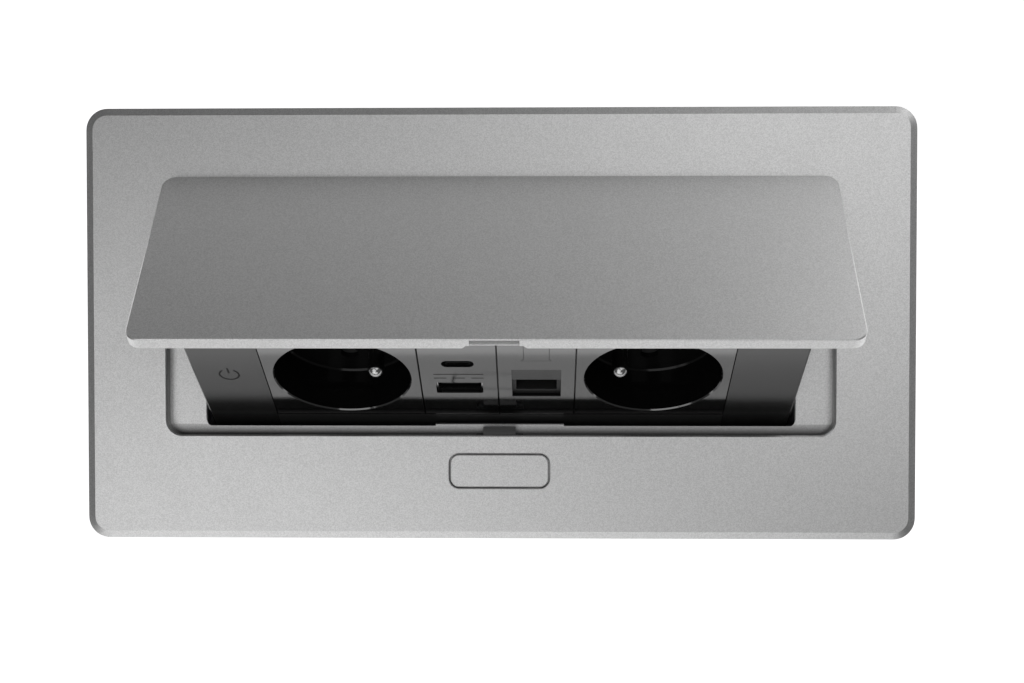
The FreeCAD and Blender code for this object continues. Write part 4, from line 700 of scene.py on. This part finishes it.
class Workshop:
    """The finishes, the node trees and the frame that every sub-assembly shares."""

    def __init__(self) -> None:
        """Make each finish and each tree once."""
        self.materials = {finish.name: finish.make() for finish in FINISHES}
        self.slots = {part["node"]: part["material_slot"] for part in frame["record"]["subparts"]}
        self.strip = strip_tree()
        self.row = row_tree()
        self.thread = thread_tree()
        self.pose = Pose()

    def dress(self, node: str, finish: str | None = None) -> None:
        """Put a finish on a carried-over CAD node.

        Args:
            node: The node's name.
            finish: A finish other than its slot's own.
        """
        thing = frame["nodes"][node]
        material = self.materials[finish or self.slots[node]]
        if not thing.material_slots:
            thing.data.materials.append(material)
        for place in thing.material_slots:
            place.material = material
        LOG.info("dressed %s as %s", node, material.name)

    def add(self, name: str, meshes: list[bpy.types.Mesh], body: str, slot: str) -> bpy.types.Object:
        """Make one object of some meshes and let it ride a body.

        Args:
            name: The new piece's name.
            meshes: Plain meshes in the row frame.
            body: The body that carries it.
            slot: Not used.

        Returns:
            The new object.
        """
        form = bmesh.new()
        for mesh in meshes:
            form.from_mesh(mesh)
        joined = bpy.data.meshes.new(name)
        form.to_mesh(joined)
        form.free()
        for material in meshes[0].materials:
            joined.materials.append(material)
        thing = bpy.data.objects.new(name, joined)
        bpy.context.collection.objects.link(thing)
        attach(thing, body)
        LOG.info("made %s with %d faces", name, len(joined.polygons))
        return thing

    def path(self, name: str, points: list[tuple[float, float]], width: float, height: float,
             finish: str, closed: bool = False) -> bpy.types.Mesh:
        """A flat strip along points in the XY plane.

        Args:
            name: The mesh's name.
            points: Places in millimetres.
            width: The strip's width in millimetres.
            height: Its thickness in millimetres.
            finish: The finish's name.
            closed: Whether the last point joins the first.

        Returns:
            The strip, centred on z = 0.
        """
        seed = bpy.data.meshes.new(name)
        count = len(points)
        edges = [(i, i + 1) for i in range(count - 1)] + ([(count - 1, 0)] if closed else [])
        seed.from_pydata([(x * MM, y * MM, 0.0) for x, y in points], edges, [])
        return self.strip.grow(name, seed, {"Width": width * MM, "Height": height * MM,
                                            "Material": self.materials[finish]})

    def blocks(self, name: str, places: list[tuple[float, float, float]],
               size: tuple[float, float, float], finish: str) -> bpy.types.Mesh:
        """Equal small blocks at given places.

        Args:
            name: The mesh's name.
            places: Their middles in millimetres.
            size: Their size in millimetres.
            finish: The finish's name.

        Returns:
            The blocks as one mesh.
        """
        seed = bpy.data.meshes.new(name)
        seed.from_pydata([tuple(v * MM for v in place) for place in places], [], [])
        return self.row.grow(name, seed, {"Size": tuple(v * MM for v in size),
                                          "Material": self.materials[finish]})


# ---------------------------------------------------------------- sub-assemblies
@dataclass
class Assembly:
    """CAD nodes that belong together, and the details that they lack."""

    workshop: Workshop
    nodes: tuple[str, ...] = ()
    own_finish: dict[str, str] = field(default_factory=dict)

    def build(self) -> None:
        """Make the details that the CAD nodes lack; most assemblies have none."""

    def dress(self) -> None:
        """Put the finishes on the CAD nodes."""
        for node in self.nodes:
            self.workshop.dress(node, self.own_finish.get(node))


@dataclass
class DeskFrame(Assembly):
    """Rim, seal, tub and what is screwed to them."""

    nodes: tuple[str, ...] = ("top_plate", "desk_gasket", "housing", "housing_screws", "cable_grommet",
                              "pivot_pins", "open_stops", "rest_bumpers", "torsion_spring_left",
                              "torsion_spring_right")


@dataclass
class DamperSet(Assembly):
    """Damper, its bracket and the two gears."""

    nodes: tuple[str, ...] = ("damper_body", "damper_bracket", "damper_screws", "damper_pinion",
                              "gear_sector")


@dataclass
class LatchSet(Assembly):
    """Button, latch and the tray that carries them."""

    nodes: tuple[str, ...] = ("push_button", "latch_slide", "latch_bracket", "latch_bracket_screws",
                              "button_spring", "latch_spring")
    own_finish: dict[str, str] = field(default_factory=lambda: {"latch_slide": "dark_steel"})


@dataclass
class DeskClamps(Assembly):
    """Clamps, pads, wing nuts and the threaded studs."""

    nodes: tuple[str, ...] = ("clamp_studs", "desk_clamp_left", "desk_clamp_right", "clamp_pad_left",
                              "clamp_pad_right", "wing_nut_left", "wing_nut_right")
    core_share: float = 0.89
    ridge_size: float = 0.28
    pitch: float = 0.8

    def build(self) -> None:
        """Cut a real thread on the two studs."""
        low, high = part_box("clamp_studs")
        radius = (high.y - low.y) / 2
        ridge = self.ridge_size * MM
        length = high.z - low.z
        seed = bpy.data.meshes.new("stud_feet")
        seed.from_pydata([(low.x + radius, 0.0, low.z), (high.x - radius, 0.0, low.z)], [], [])
        thread_length = length - 2 * ridge
        studs = self.workshop.thread.grow("threaded_studs", seed, {
            "Core radius": radius * self.core_share, "Ridge radius": radius - ridge, "Ridge size": ridge,
            "Length": length, "Thread length": thread_length, "Turns": thread_length / (self.pitch * MM),
            "Material": self.workshop.materials["zinc_steel"]})
        thing = self.workshop.add("threaded_studs", [studs], "desk_frame", "zinc_steel")
        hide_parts("clamp_studs")


@dataclass
class LidSet(Assembly):
    """Lid, its screws, and the lip of the latch keeper in its front edge."""

    nodes: tuple[str, ...] = ("lid", "lid_screws")
    keeper_half_w: float = 6.8
    lip_front: float = -33.25
    lip_depth: float = 1.5
    lip_bottom: float = 0.65
    lip_top: float = 0.9
    dash_count: int = 9
    dash_pitch: float = 1.45
    dash_w: float = 0.9
    dash_size: float = 0.1

    def build(self) -> None:
        """Make the thin lip, in a lighter grey that paints it lit inside its shaded slot, and the painted
        highlight of bright dashes along its edge.
        """
        shop = self.workshop
        middle_z = (self.lip_bottom + self.lip_top) / 2
        size = (2 * self.keeper_half_w, self.lip_depth, self.lip_top - self.lip_bottom)
        # Painted light: the lip is drawn in a lighter grey so it looks lit inside its shaded slot.
        lip = shop.blocks("keeper_lip", [(0.0, self.lip_front + self.lip_depth / 2, middle_z)], size,
                          "lip_painted_lit_grey")
        lip.transform(shop.pose.opened())
        shop.add("keeper_lip", [lip], "tilting_block", "silver_lacquer")
        first = -(self.dash_count - 1) / 2
        # Painted highlight: bright dashes along the lip's front edge.
        places = [((first + i) * self.dash_pitch, self.lip_front, middle_z) for i in range(self.dash_count)]
        dashes = shop.blocks("keeper_edge_highlight", places, (self.dash_w, self.dash_size, self.dash_size),
                             "painted_edge_highlight")
        dashes.transform(shop.pose.opened())
        shop.add("keeper_edge_highlight", [dashes], "tilting_block", "silver_lacquer")


@dataclass
class BlockShell(Assembly):
    """Carriage, face frame, end caps, rear cover and glands."""

    nodes: tuple[str, ...] = ("carriage_frame", "pivot_bushes", "face_frame", "end_cap_left",
                              "end_cap_right", "rear_cover", "mains_gland", "data_gland")
    mark_x: float = -77.7
    mark_s: float = 24.6
    ring_radius: float = 2.8
    ring_gap: float = 35.0
    ring_steps: int = 28
    bar_from: float = 0.7
    bar_to: float = 3.6
    line_width: float = 0.55
    line_height: float = 0.05

    def build(self) -> None:
        """Print a plain power mark on the left end cap."""
        shop = self.workshop
        turns = [math.radians(90 + self.ring_gap + (360 - 2 * self.ring_gap) * i / self.ring_steps)
                 for i in range(self.ring_steps + 1)]
        ring = [(self.mark_x + self.ring_radius * math.cos(a), -self.mark_s + self.ring_radius * math.sin(a))
                for a in turns]
        bar = [(self.mark_x, -self.mark_s + self.bar_from), (self.mark_x, -self.mark_s + self.bar_to)]
        meshes = [shop.path("power_mark", points, self.line_width, self.line_height, "print_dark")
                  for points in (ring, bar)]
        for mesh in meshes:
            mesh.transform(shop.pose.face())
        shop.add("power_mark", meshes, "tilting_block", "silver_lacquer")


@dataclass
class MainsSockets(Assembly):
    """The two mains sockets and the bus bars behind them."""

    nodes: tuple[str, ...] = ("socket_left", "socket_right", "socket_shutter_left", "socket_shutter_right",
                              "socket_back_left", "socket_back_right", "contact_clips_left",
                              "contact_clips_right", "earth_pin_left", "earth_pin_right", "bus_bars",
                              "terminal_block")


@dataclass
class UsbModule(Assembly):
    """Charger module and the direct-current mark between its ports."""

    nodes: tuple[str, ...] = ("usb_face", "usb_housing", "usb_board", "usb_c_shell", "usb_a_shell",
                              "usb_tongues")
    mark_x: float = -11.25
    mark_s: float = 25.5
    mark_w: float = 14.4
    mark_h: float = 2.2
    dash_count: int = 3
    dash_w: float = 3.6
    line: float = 0.35
    line_height: float = 0.05

    def build(self) -> None:
        """Print the bar over dashes."""
        shop = self.workshop
        top = -self.mark_s + self.mark_h / 2
        bar = shop.blocks("current_mark", [(self.mark_x, top, 0.0)],
                          (self.mark_w, self.line, self.line_height), "print_dark")
        pitch = (self.mark_w - self.dash_w) / (self.dash_count - 1)
        places = [(self.mark_x + (i - (self.dash_count - 1) / 2) * pitch, top - self.mark_h, 0.0)
                  for i in range(self.dash_count)]
        dashes = shop.blocks("current_dashes", places, (self.dash_w, self.line, self.line_height),
                             "print_dark")
        for mesh in (bar, dashes):
            mesh.transform(shop.pose.face())
        shop.add("current_mark", [bar, dashes], "tilting_block", "silver_lacquer")


@dataclass
class NetworkModule(Assembly):
    """Network face, shutter, jack and contacts."""

    nodes: tuple[str, ...] = ("network_face", "network_shutter", "network_jack", "network_contacts")
    field_x: float = 11.25
    field_half_w: float = 3.65
    field_top: float = 5.0
    field_bottom: float = 16.8
    flare: float = 0.8
    line: float = 0.16
    line_height: float = 0.04

    def build(self) -> None:
        """Print the faint outline of the label field."""
        shop = self.workshop
        x, w, f = self.field_x, self.field_half_w, self.flare
        low = -self.field_bottom
        outline = [(x - w, -self.field_top), (x - w, low + f), (x - w - f, low), (x + w + f, low),
                   (x + w, low + f), (x + w, -self.field_top)]
        mesh = shop.path("label_outline", outline, self.line, self.line_height, "print_faint")
        mesh.transform(shop.pose.face())
        shop.add("label_outline", [mesh], "tilting_block", "gloss_black")


def main() -> None:
    """Build and dress the whole unit."""
    logging.basicConfig(level=logging.INFO)
    Studio().build()
    workshop = Workshop()
    dressed: list[str] = []
    for kind in (DeskFrame, DamperSet, LatchSet, DeskClamps, LidSet, BlockShell, MainsSockets, UsbModule,
                 NetworkModule):
        assembly = kind(workshop)
        assembly.build()
        assembly.dress()
        dressed.extend(assembly.nodes)
    missed = sorted(set(frame["nodes"]) - set(dressed))
    if missed:
        LOG.warning("no finish for %s", missed)


if __name__ == "__main__":
    main()
